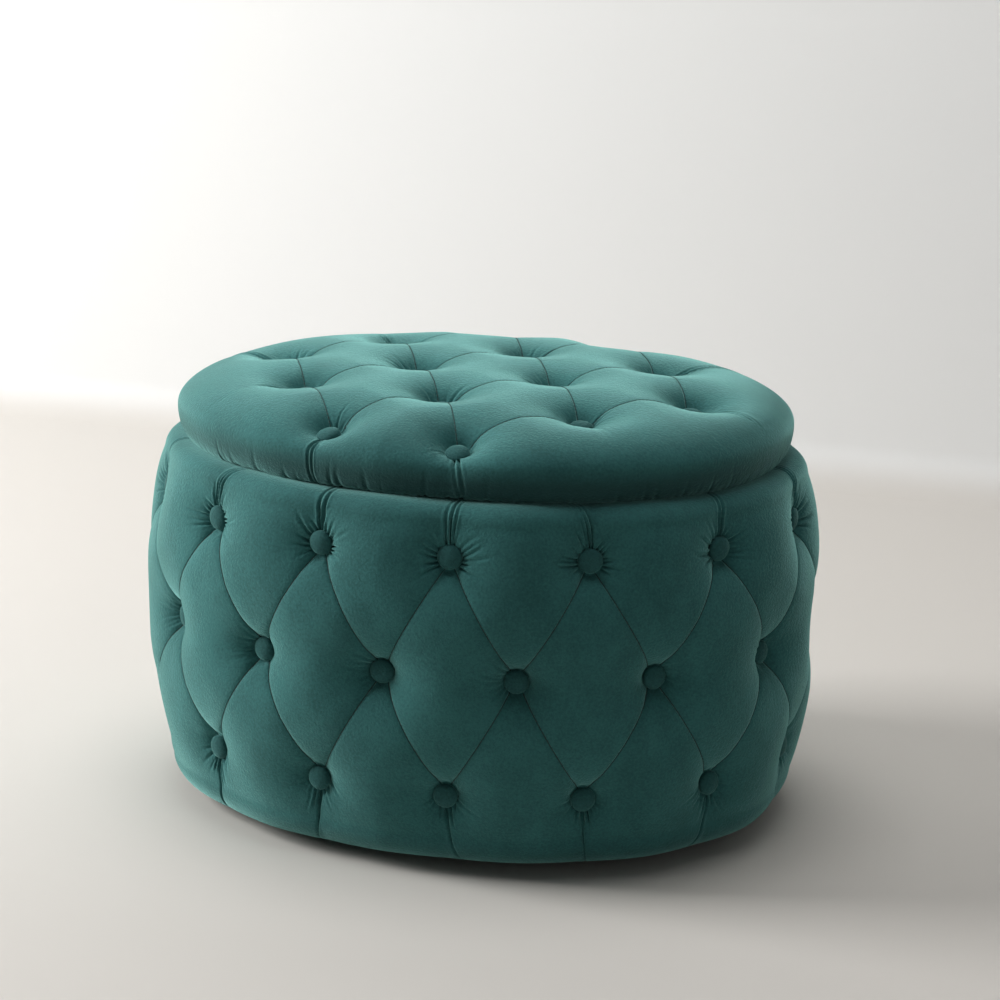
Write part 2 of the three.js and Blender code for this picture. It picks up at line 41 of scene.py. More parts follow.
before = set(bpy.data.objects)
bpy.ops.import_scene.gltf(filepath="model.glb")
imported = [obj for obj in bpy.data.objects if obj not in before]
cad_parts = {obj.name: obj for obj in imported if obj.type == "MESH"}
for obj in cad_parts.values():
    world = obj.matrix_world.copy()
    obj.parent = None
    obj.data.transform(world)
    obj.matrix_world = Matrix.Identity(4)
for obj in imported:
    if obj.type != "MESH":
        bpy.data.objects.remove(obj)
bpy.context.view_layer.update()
MM = 0.001
SKY_SHOWN = 0.85  # how bright the pale background shows, where 1 is white

# ---- Sizes, in metres ----
OVAL_POWER = 2.12  # 2 is a true ellipse, more squares its shoulders
PAD_THICK = 48 * MM  # from the padding's widest line in to the wall
BELLY = 74 * MM  # how far the padding's side line would draw in at its very ends
BELLY_HEIGHT = 214 * MM  # from the floor to its widest line
BELLY_POWER = 2.8  # how square that side line is
RIM_ROLL = 18 * MM
FOOT_ROLL = 30 * MM  # height of the foot's roll, which runs in to the wall
UNDER_END = 74 * MM  # where the velvet ends under the base, in from the widest line
MOUTH_INSET = 85.5 * MM
MOUTH_ROUND = 2 * MM  # drawn tight over the rim ring's edge
MOUTH_LOW = 21.8 * MM  # from the tub's rim down to the velvet's end inside the mouth
COLUMNS = 14  # buttons in each of the tub's rows
FIRST_COLUMN = 0.86  # where the first one sits, in steps from the +X end
BUTTON_RADIUS = 11.5 * MM
BUTTON_HEIGHT = 8 * MM
BUTTON_SINK = 15.5 * MM  # from the tub's widest line in to a button's dome
BUTTON_EDGE_DROP = 7.5 * MM  # from the top of a button's dome down to the velvet at its edge
LID_ROWS = (2, 3, 4, 3, 2)
LID_COLUMN = 212 / 3 * MM  # half the spacing of the buttons in a row
LID_ROW = 104 * MM
LID_END_ROW_SHARE = 64.2 / 70.7  # the first and last rows stand this much closer
LID_TURN = math.radians(-7)
LID_SINK = 15 * MM  # from the crown down to a button's dome, drawn tight
LID_TUCK = 13 * MM
LID_WAIST = 30 * MM
LID_CROWN_POWER = 4
LID_FLAT_SHARE = 0.85  # out to this share of the lid's plan the velvet lies over it as if it were flat
LID_SEAM_SPAN = 57 * MM  # from a seam of the lid to the middle of the square beside it, nearly
LID_SLACK_PLEATS = {(-2, -1): 0.3, (2, -1): 0.25}  # lattice places whose pleat is nearly pulled smooth
LID_UNDER_END = 62 * MM  # where the velvet ends under the lid, in from the lid's edge
LID_BOARD_INSET = 21.7 * MM
SIDE_CELLS = 48  # grid cells from one button column to the next
LID_CELLS = 60  # and on the lid, where folds cross the grid aslant
BUNCHING = 0.45  # how much the grid's lines bunch up at the buttons
NUDGE = 1e-6  # lifts a whole number that rounding has left just below itself
COARSE = 3  # every so many grid lines go into the cloth simulation
CLOTH_FRAMES = 20
SEED = 11
HELD_RADII = 1.1  # the cloth is held still out to this many button radii
SEAM_HOLD = 0.4  # how firmly a seam holds the cloth, where a button's hold is 1
SEAM_HOLD_WIDTH = 0.06  # how wide that hold is, in steps of the lattice
TUB_HELD_INSET = 40 * MM  # the tub's velvet is held from this far in, on the rim and under the base
LID_HELD_REACH = 0.17  # and the lid's over this last share of its radius
UNEVEN_WAVE = 90 * MM  # from crest to crest of the padding's slight unevenness

tub_low, tub_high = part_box("tub_cover")
lid_low, lid_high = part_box("lid_cover")
HALF_LENGTH, HALF_WIDTH = tub_high.x, tub_high.y
LID_LENGTH, LID_WIDTH = lid_high.x, lid_high.y
TUB_BOTTOM, TUB_TOP = tub_low.z, tub_high.z
LID_BOTTOM, CROWN = lid_low.z, lid_high.z
ROW_NAMES = ("bottom", "middle", "top")
ROW_HEIGHTS = [sum(corner.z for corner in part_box(f"button_row_{name}")) / 2 for name in ROW_NAMES]


# ---- Settings ----
def colour_setting(name, description, default):
    return bpy.props.FloatVectorProperty(
        name=name, description=description, default=default, subtype="COLOR", size=3, min=0, max=1
    )


def length_setting(name, description, default):
    return bpy.props.FloatProperty(
        name=name, description=description, default=default, unit="LENGTH", subtype="DISTANCE", min=0
    )


class OttomanSettings(bpy.types.PropertyGroup):
    """Sizes and colours of the ottoman's soft pieces and fixings."""

    velvet: colour_setting("Velvet", "Colour of the velvet's pile", (0.0352, 0.155, 0.152))
    velvet_deep: colour_setting(
        "Velvet, against the nap", "Its colour seen against the nap", (0.0185, 0.093, 0.092)
    )
    sheen: colour_setting("Sheen", "Tint of the light that the pile's tips throw back", (0.47, 1.0, 0.94))
    thread: colour_setting("Thread", "Colour of the seams' stitches", (0.008, 0.034, 0.032))
    lining: colour_setting("Lining", "Colour of the non-woven lining", (0.018, 0.018, 0.020))
    floor: colour_setting("Floor", "Colour of the plain floor", (0.64, 0.61, 0.57))
    wall: colour_setting("Wall", "Colour of the plain backdrop", (0.84, 0.84, 0.83))
    seam_depth: length_setting("Seam depth", "How deep a seam lies halfway between buttons", 0.8 * MM)
    seam_groove: length_setting("Seam groove", "Depth of the fine groove that the thread pulls", 1.0 * MM)
    pleat_depth: length_setting("Pleat depth", "Depth of the folds from a button to an edge", 2.8 * MM)
    wrinkle_depth: length_setting("Wrinkle depth", "Depth of the short wrinkles round a button", 2.6 * MM)
    cloth_reach: length_setting("Cloth reach", "How far the cloth may swell from its first shape", 5 * MM)
    stitch_pitch: length_setting("Stitch pitch", "Length of a seam for each stitch", 4.2 * MM)
    stitch_width: length_setting("Thread width", "Thickness of the sewing thread", 0.7 * MM)


def settings():
    return bpy.context.scene.ottoman


# ---- Node trees ----
class Value:
    """A number in a node tree. Python's operators add Math nodes to it."""

    def __init__(self, graph, socket):
        self.graph = graph
        self.socket = socket

    def math(self, operation, *others, clamp=False):
        numbers = dict(enumerate((self, *others)))
        node = self.graph.node("ShaderNodeMath", {"operation": operation, "use_clamp": clamp}, numbers)
        return Value(self.graph, node.outputs[0])

    def other_first(self, operation, other):
        node = self.graph.node("ShaderNodeMath", {"operation": operation}, {0: other, 1: self})
        return Value(self.graph, node.outputs[0])

    def __add__(self, other):
        return self.math("ADD", other)

    def __sub__(self, other):
        return self.math("SUBTRACT", other)

    def __mul__(self, other):
        return self.math("MULTIPLY", other)

    def __truediv__(self, other):
        return self.math("DIVIDE", other)

    def __pow__(self, other):
        return self.math("POWER", other)

    def __rsub__(self, other):
        return self.other_first("SUBTRACT", other)

    def __rtruediv__(self, other):
        return self.other_first("DIVIDE", other)

    __radd__ = __add__
    __rmul__ = __mul__

    def ramp(self, low, high):
        """0 at low, 1 at high, smooth between them. low may be the greater."""
        node = self.graph.node(
            "ShaderNodeMapRange",
            {"interpolation_type": "SMOOTHSTEP"},
            {"Value": self, "From Min": low, "From Max": high},
        )
        return Value(self.graph, node.outputs[0])


class Graph:
    """A node tree, with one way to add any node to it."""

    def __init__(self, tree):
        self.tree = tree
        self.tree.nodes.clear()

    def node(self, kind, choices=None, values=None):
        node = self.tree.nodes.new(kind)
        for name, choice in (choices or {}).items():
            if name == "stops":
                self.set_stops(node.color_ramp, choice)
            else:
                setattr(node, name, choice)
        for name, value in (values or {}).items():
            self.put(node.inputs[name], value)
        return node

    def put(self, socket, value):
        if isinstance(value, Value):
            value = value.socket
        if isinstance(value, bpy.types.NodeSocket):
            self.tree.links.new(value, socket)
        elif hasattr(socket.default_value, "__len__") and len(socket.default_value) == 4:
            socket.default_value = (*value[:3], 1)
        else:
            socket.default_value = value

    @staticmethod
    def set_stops(ramp, stops):
        while len(ramp.elements) > len(stops):
            ramp.elements.remove(ramp.elements[-1])
        while len(ramp.elements) < len(stops):
            ramp.elements.new(1)
        for element, (place, colour) in zip(ramp.elements, stops):
            element.position = place
            element.color = (*colour, 1)


class Finish(Graph):
    """A material under construction: a Graph with a Principled BSDF on its output."""

    def __init__(self, name, **constants):
        self.material = bpy.data.materials.new(name)
        self.material.use_nodes = True
        super().__init__(self.material.node_tree)
        self.shader = self.node("ShaderNodeBsdfPrincipled", values=constants)
        self.output = self.node("ShaderNodeOutputMaterial", values={"Surface": self.shader.outputs[0]})
        self.place = self.node("ShaderNodeTexCoord").outputs["Object"]

    def mapped(self, scale, turn=(0, 0, 0)):
        values = {"Vector": self.place, "Scale": scale, "Rotation": turn}
        return self.node("ShaderNodeMapping", values=values).outputs[0]

    def noise(self, scale, detail=2.0, roughness=0.5, place=None, **more):
        values = {"Vector": place or self.place, "Scale": scale, "Detail": detail, "Roughness": roughness}
        node = self.node("ShaderNodeTexNoise", values={**values, **more})
        return Value(self, node.outputs["Fac"])

    def mix(self, factor, first, second, blend="MIX"):
        node = self.node(
            "ShaderNodeMix",
            {"data_type": "RGBA", "blend_type": blend},
            {0: factor, 6: first, 7: second},
        )
        return node.outputs[2]

    def bump(self, height, distance, strength=1.0, below=None):
        values = {"Height": height, "Distance": distance, "Strength": strength}
        if below is not None:
            values["Normal"] = below
        return self.node("ShaderNodeBump", values=values).outputs[0]

    def set(self, **sockets):
        for name, value in sockets.items():
            self.put(self.shader.inputs[name.replace("_", " ")], value)
        return self.material


# ---- Materials ----
def lattice_seams(finish, shift):
    """How far a point of the velvet is from a seam, from 0 on it to 1 halfway to the next.

    It is read from the velvet's own map, which counts half button spacings along and rows up.
    """
    split = finish.node("ShaderNodeSeparateXYZ", values={0: uv_of(finish, "Lattice")})
    column, row = (Value(finish, split.outputs[i]) for i in (0, 1))
    rising = (column + row + shift).math("PINGPONG", 1.0)
    falling = (column - row + shift).math("PINGPONG", 1.0)
    return rising.math("MINIMUM", falling)


def uv_of(finish, name):
    return finish.node("ShaderNodeUVMap", {"uv_map": name}).outputs[0]


def velvet_finish(name, seams_shift=None, shade=1.0, sheen=0.85, line_shown=0.7):
    """Cut pile: mottled by the nap, grainy close up, with a sheen at its edges.

    seams_shift sets where the seams lie on the lattice, and line_shown how strongly their thread shows.
    With seams_shift the velvet also takes painted shade from its under attribute; shade below 1 paints both
    its colours darker, as painted shade.
    """
    sizes = settings()
    finish = Finish(
        name,
        **{
            "Roughness": 0.82,
            "Specular IOR Level": 0.18,
            "Sheen Weight": sheen,
            "Sheen Roughness": 0.42,
            "Sheen Tint": sizes.sheen,
        },
    )
    brushed = finish.noise(9.0, 3.0, 0.55, finish.mapped((1, 1, 0.6)), Distortion=0.6)
    patches = finish.noise(34.0, 3.0, 0.6)
    pile = finish.noise(430.0, 2.0, 0.65)
    grain = finish.noise(1300.0, 1.0, 0.5)
    nap = (brushed * 0.45 + patches * 0.3 + pile * 0.55).ramp(0.46, 0.84)
    # Painted shade: a shade below 1 darkens both colours of the pile, as on the buttons, which sit in shade
    # deep in their dimples.
    deep, pale = (tuple(c * shade for c in colour) for colour in (sizes.velvet_deep, sizes.velvet))
    colour = finish.mix(nap, deep, pale)
    height = pile * 0.7 + grain * 0.3
    normal = finish.bump(height, 0.0013, 0.7)
    if seams_shift is not None:
        near = lattice_seams(finish, seams_shift)
        sewn, under = (
            Value(finish, finish.node("ShaderNodeAttribute", {"attribute_name": field}).outputs["Fac"])
            for field in ("sewn", "under")
        )
        # Painted shade: the under attribute darkens the velvet towards a third of its deep colour where it
        # turns under the lid's edge and near the tub's foot.
        colour = finish.mix(under, colour, tuple(c * 0.35 for c in deep))
        line = near.ramp(0.016, 0.005) * sewn
        colour = finish.mix(line * line_shown, colour, sizes.thread)
        normal = finish.bump(1 - line, 0.0008, 0.7, normal)
    return finish.set(Base_Color=colour, Normal=normal)


def cloth_lining():
    """Black non-woven cloth with the small bond points that hold its fibres together."""
    finish = Finish("lining_cloth", **{"Roughness": 0.9, "Sheen Weight": 0.15, "Specular IOR Level": 0.3})
    points = finish.node("ShaderNodeTexVoronoi", {"feature": "F1"}, {"Vector": finish.place, "Scale": 420.0})
    bond = Value(finish, points.outputs["Distance"]).ramp(0.28, 0.5)
    fibres = finish.noise(900.0, 3.0, 0.7)
    shade = (fibres * 0.6 + bond * 0.4).ramp(0.2, 0.9)
    colour = finish.mix(shade, tuple(c * 0.45 for c in settings().lining), settings().lining)
    normal = finish.bump(bond * 0.6 + fibres * 0.4, 0.0004, 0.7)
    return finish.set(Base_Color=colour, Normal=normal)


def wood(name, pale, dark, roughness=0.62):
    """Raw ply or softwood: long grain along X, with darker pores and a few growth bands."""
    finish = Finish(name, Roughness=roughness)
    along = finish.mapped((3, 60, 60))
    bands = finish.noise(1.2, 3.0, 0.5, along, Distortion=1.2)
    pores = finish.noise(14.0, 4.0, 0.7, along)
    colour = finish.mix((bands * 0.75 + pores * 0.35).ramp(0.35, 0.75), pale, dark)
    return finish.set(Base_Color=colour, Normal=finish.bump(pores, 0.0003, 0.6))


def hardboard_finish():
    finish = Finish("hardboard_brown")
    fibres = finish.noise(480.0, 4.0, 0.7)
    flecks = finish.noise(60.0, 2.0, 0.5)
    shade = (fibres * 0.6 + flecks * 0.4).ramp(0.3, 0.7)
    colour = finish.mix(shade, (0.10, 0.055, 0.028), (0.22, 0.125, 0.062))
    normal = finish.bump(fibres, 0.0002, 0.5)
    return finish.set(Base_Color=colour, Roughness=fibres * 0.25 + 0.45, Normal=normal)


def foam_finish():
    finish = Finish("foam_cells", Roughness=0.95)
    cells = finish.node("ShaderNodeTexVoronoi", {"feature": "F1"}, {"Vector": finish.place, "Scale": 900.0})
    open_cell = Value(finish, cells.outputs["Distance"])
    colour = finish.mix(open_cell.ramp(0.1, 0.7), (0.62, 0.52, 0.28), (0.86, 0.78, 0.52))
    return finish.set(Base_Color=colour, Normal=finish.bump(open_cell, 0.0006, 0.8))


def glide_finish():
    finish = Finish("glide_plastic_black")
    texture = finish.noise(700.0, 2.0, 0.5)
    colour = finish.mix(texture, (0.012, 0.012, 0.012), (0.022, 0.022, 0.023))
    normal = finish.bump(texture, 0.0001, 0.4)
    return finish.set(Base_Color=colour, Roughness=texture * 0.2 + 0.4, Normal=normal)


def steel_finish(name, colour, roughness):
    finish = Finish(name, Metallic=1.0)
    streaks = finish.noise(1.0, 3.0, 0.6, finish.mapped((400, 400, 1600)))
    worn = finish.noise(90.0, 3.0, 0.6)
    tint = finish.mix(worn.ramp(0.35, 0.7), tuple(c * 0.8 for c in colour), colour)
    return finish.set(Base_Color=tint, Roughness=streaks * 0.2 + roughness)


def thread_finish():
    finish = Finish("sewing_thread", Roughness=0.6)
    twist = finish.noise(1600.0, 2.0, 0.5)
    colour = finish.mix(twist, tuple(c * 0.6 for c in settings().thread), settings().thread)
    return finish.set(Base_Color=colour, Normal=finish.bump(twist, 0.0002, 0.5))


def stage_finish():
    """Plain paper: the floor's colour below, the backdrop's above. Its rear face is clear.

    Far from the ottoman the camera sees it as pale as the sky; it lights nothing there.
    """
    sizes = settings()
    finish = Finish("stage_paper", Roughness=0.85)
    split = finish.node("ShaderNodeSeparateXYZ", values={0: finish.place})
    x, y, z = (Value(finish, socket) for socket in split.outputs)
    finish.set(Base_Color=finish.mix(z.ramp(0.0, 0.05), sizes.floor, sizes.wall))
    seen = Value(finish, finish.node("ShaderNodeLightPath").outputs["Is Camera Ray"])
    far = ((x**2 + y**2) ** 0.5).ramp(2.4, 4.2) * seen
    haze = finish.node("ShaderNodeEmission", values={"Color": tuple(sizes.wall), "Strength": SKY_SHOWN})
    behind = finish.node("ShaderNodeNewGeometry").outputs["Backfacing"]
    clear = finish.node("ShaderNodeBsdfTransparent")
    paper = finish.shader
    for share, other in ((far, haze), (behind, clear)):
        values = {0: share, 1: paper.outputs[0], 2: other.outputs[0]}
        paper = finish.node("ShaderNodeMixShader", values=values)
    finish.put(finish.output.inputs["Surface"], paper.outputs[0])
    return finish.material


MATERIALS = {}


def material(name, make, *arguments, **choices):
    """Each material is made once, when the first piece asks for it."""
    if name not in MATERIALS:
        MATERIALS[name] = make(*arguments, **choices)
    return MATERIALS[name]


# ---- Shape helpers ----
def smooth(values, low, high):
    t = np.clip((values - low) / (high - low), 0, 1)
    return t * t * (3 - 2 * t)


def signed_power(values, power):
    return np.sign(values) * np.abs(values) ** power


def ping_pong(values):
    """How far a number is from the nearest even whole number."""
    return np.abs((values + 1) % 2 - 1)


def bell(values, width):
    return np.exp(-((values / width) ** 2))


def oval_point(along, across, angle):
    x = along * signed_power(np.cos(angle), 2 / OVAL_POWER)
    y = across * signed_power(np.sin(angle), 2 / OVAL_POWER)
    return np.stack([x, y], -1)


def oval_along(half_length, half_width, share):
    """Points at equal steps of length round an oval, the first at its +X end, and the normals there."""
    angles = np.linspace(0, 2 * np.pi, 4097)
    fine = oval_point(half_length, half_width, angles)
    lengths = np.concatenate([[0], np.cumsum(np.linalg.norm(np.diff(fine, axis=0), axis=1))])
    angle = np.interp((np.asarray(share) % 1) * lengths[-1], lengths, angles)
    points = oval_point(half_length, half_width, angle)
    axes = np.array([half_length, half_width])
    normals = signed_power(points / axes, OVAL_POWER - 1) / axes
    return points, normals / np.linalg.norm(normals, axis=-1, keepdims=True)


def lattice_steps(first, last, cells):
    """Coordinates from one whole number to another, each unit split into cells that bunch up at its ends."""
    t = first + np.arange((last - first) * cells + 1) / cells
    return t - BUNCHING * np.sin(2 * np.pi * t) / (2 * np.pi)


def growing_steps(length, first, last, multiple):
    """Places from 0 to length, spaced first apart at 0 and last apart at the end."""
    count = math.ceil(2 * length / (first + last) / multiple) * multiple
    widths = np.linspace(first, last, count)
    places = np.concatenate([[0], np.cumsum(widths)])
    return places * length / places[-1]


def grid_normals(points, wraps):
    """Unit normals of a grid of points, from the lines that cross at each. wraps: its columns close round."""
    if wraps:
        along = np.roll(points, -1, 1) - np.roll(points, 1, 1)
    else:
        along = np.gradient(points, axis=1)
    normals = np.cross(along, np.gradient(points, axis=0))
    return normals / np.maximum(np.linalg.norm(normals, axis=-1, keepdims=True), 1e-12)


def refine(coarse, factor, wraps):
    """A coarse grid of vectors, drawn out smoothly to factor times as many lines each way."""

    def one_way(grid, closed):
        count = len(grid)
        fine = np.arange(count * factor if closed else (count - 1) * factor + 1)
        base, part = fine // factor, ((fine % factor) / factor)[:, None, None]
        places = base + np.array([-1, 0, 1, 2])[:, None]
        places = places % count if closed else np.clip(places, 0, count - 1)
        a, b, c, d = grid[places]
        return b + 0.5 * part * (c - a + part * (2 * a - 5 * b + 4 * c - d + part * (3 * (b - c) + d - a)))

    rows = one_way(coarse, False)
    return one_way(rows.transpose(1, 0, 2), wraps).transpose(1, 0, 2)


def ripples(x, y, wave, seed, strength=1.0):
    """A soft, uneven field made of a dozen plane waves about this wavelength."""
    draw = np.random.default_rng(seed)
    field = np.zeros(np.broadcast(x, y).shape)
    for _ in range(12):
        angle, phase = draw.uniform(0, 2 * np.pi, 2)
        length = wave * draw.uniform(0.6, 1.6)
        field += np.sin(2 * np.pi * (x * np.cos(angle) + y * np.sin(angle)) / length + phase)
    return strength * field / 12**0.5


# ---- Mesh helpers ----
def mesh_object(name, points, triangles, materials=(), indices=None):
    mesh = bpy.data.meshes.new(name)
    mesh.vertices.add(len(points))
    mesh.vertices.foreach_set("co", np.ascontiguousarray(points, np.float32).ravel())
    mesh.loops.add(triangles.size)
    mesh.loops.foreach_set("vertex_index", np.ascontiguousarray(triangles, np.int32).ravel())
    mesh.polygons.add(len(triangles))
    mesh.polygons.foreach_set("loop_start", np.arange(0, triangles.size, triangles.shape[1], dtype=np.int32))
    mesh.polygons.foreach_set("use_smooth", np.ones(len(triangles), bool))
    if indices is not None:
        mesh.polygons.foreach_set("material_index", np.ascontiguousarray(indices, np.int32))
    mesh.update(calc_edges=True)
    for one in materials:
        mesh.materials.append(one)
    return linked(name, mesh)


def linked(name, data):
    """An object for a mesh, a camera or a lamp, put in the scene."""
    piece = bpy.data.objects.new(name, data)
    bpy.context.scene.collection.objects.link(piece)
    return piece


def add_map(piece, name, corners):
    """A UV map from an array of one pair for each corner of each face."""
    layer = piece.data.uv_layers.new(name=name)
    layer.uv.foreach_set("vector", np.ascontiguousarray(corners, np.float32).ravel())


def split_cells(low, right, far, up, rising):
    """Two triangles for each cell of a grid, split along the diagonal that rising picks."""
    first = np.where(rising[:, None], np.stack([low, right, far], 1), np.stack([low, right, up], 1))
    second = np.where(rising[:, None], np.stack([low, far, up], 1), np.stack([right, far, up], 1))
    return np.stack([first, second], 1).reshape(-1, 3)


def swollen(name, points, triangles, pins):
    """The grid's points after its cloth has been blown up a little and has settled round its pins."""
    piece = mesh_object(name, points, triangles)
    group = piece.vertex_groups.new(name="held")
    for weight in np.unique(np.round(pins, 1)):
        group.add(np.nonzero(np.round(pins, 1) == weight)[0].tolist(), float(weight), "REPLACE")
    cloth = piece.modifiers.new("cloth", "CLOTH")
    cloth.settings.quality = 6
    cloth.settings.mass = 0.3
    cloth.settings.tension_stiffness = 12
    cloth.settings.compression_stiffness = 12
    cloth.settings.shear_stiffness = 4
    cloth.settings.bending_stiffness = 0.35
    cloth.settings.use_pressure = True
    cloth.settings.uniform_pressure_force = 4
    cloth.settings.effector_weights.gravity = 0
    cloth.settings.vertex_group_mass = "held"
    cloth.settings.pin_stiffness = 1
    cloth.point_cache.frame_start = 1
    cloth.point_cache.frame_end = CLOTH_FRAMES
    scene = bpy.context.scene
    for step in range(CLOTH_FRAMES):
        scene.frame_set(step + 1)
    evaluated = piece.evaluated_get(bpy.context.evaluated_depsgraph_get())
    settled = np.empty(len(points) * 3, np.float32)
    evaluated.data.vertices.foreach_get("co", settled)
    scene.frame_set(1)
    mesh = piece.data
    bpy.data.objects.remove(piece)
    bpy.data.meshes.remove(mesh)
    return settled.reshape(-1, 3).astype(float)


def capped(movement, reach):
    length = np.linalg.norm(movement, axis=-1, keepdims=True)
    return movement * np.minimum(1, reach / np.maximum(length, 1e-9))


# ---- The tub's padding ----
def belly_inset(z):
    end = np.where(np.asarray(z) < BELLY_HEIGHT, 0, TUB_TOP + RIM_ROLL)
    reach = np.minimum(1, (z - BELLY_HEIGHT) / (end - BELLY_HEIGHT))
    return BELLY * (1 - (1 - reach**BELLY_POWER) ** (1 / BELLY_POWER))


def quarter(first, last, level_first):
    """A quarter of an oval from one point to another, level at the first one or at the last."""
    angles = np.linspace(0, np.pi / 2, 24)[:, None]
    first, last = np.array(first), np.array(last)
    share = np.stack([np.sin(angles), 1 - np.cos(angles)], -1)[:, 0]
    return first + (last - first) * (share if level_first else share[:, ::-1])


def evenly(points, step):
    lengths = np.concatenate([[0], np.cumsum(np.linalg.norm(np.diff(points, axis=0), axis=1))])
    wanted = np.linspace(0, lengths[-1], round(lengths[-1] / step) + 1)
    return np.stack([np.interp(wanted, lengths, points[:, i]) for i in (0, 1)], 1), wanted


def softened(points, step, spread):
    """A line of evenly spaced points with its corners rounded off. Its ends stay."""
    reach = round(3 * spread / step)
    weights = bell(np.arange(-reach, reach + 1) * step, spread * 2**0.5)
    before = 2 * points[0] - points[reach:0:-1]
    after = 2 * points[-1] - points[-2 : -reach - 2 : -1]
    padded = np.concatenate([before, points, after])
    return np.stack([np.convolve(padded[:, i], weights / weights.sum(), "valid") for i in (0, 1)], 1)


def tub_section():
    """The padding's section as inset and height, from under the base to the velvet's end in the mouth."""
    low, high = TUB_BOTTOM + FOOT_ROLL, TUB_TOP - RIM_ROLL
    side = np.linspace(low, high, 120)
    line = np.concatenate([
        [[UNDER_END, TUB_BOTTOM]],
        quarter((PAD_THICK, TUB_BOTTOM), (belly_inset(low), low), True),
        np.stack([belly_inset(side), side], 1),
        quarter((belly_inset(high), high), (belly_inset(high) + RIM_ROLL, TUB_TOP), False),
        quarter((MOUTH_INSET - MOUTH_ROUND, TUB_TOP), (MOUTH_INSET, TUB_TOP - MOUTH_ROUND), True),
        [[MOUTH_INSET, TUB_TOP - MOUTH_LOW]],
    ])
    step = 0.5 * MM
    points, _ = evenly(line, step)
    return evenly(softened(points, step, 2.0 * MM), step)


def mouth_wall():
    """The rest of the closed section: over the rim ring and down the wall to the velvet's first end."""
    behind_ring = MOUTH_INSET - 1.5 * MM
    on_wall = PAD_THICK - 0.3 * MM
    over_ring = TUB_TOP - 1.5 * MM
    under_base = TUB_BOTTOM + 1.5 * MM
    corner_cut = 4 * MM
    return np.array([
        [behind_ring, TUB_TOP - MOUTH_LOW],
        [behind_ring, TUB_TOP - corner_cut],
        [MOUTH_INSET - corner_cut, over_ring],
        [on_wall, over_ring],
        *[[on_wall, z] for z in np.linspace(0.3, 0.05, 4)],
        [on_wall, under_base],
        [UNDER_END, under_base],
    ])


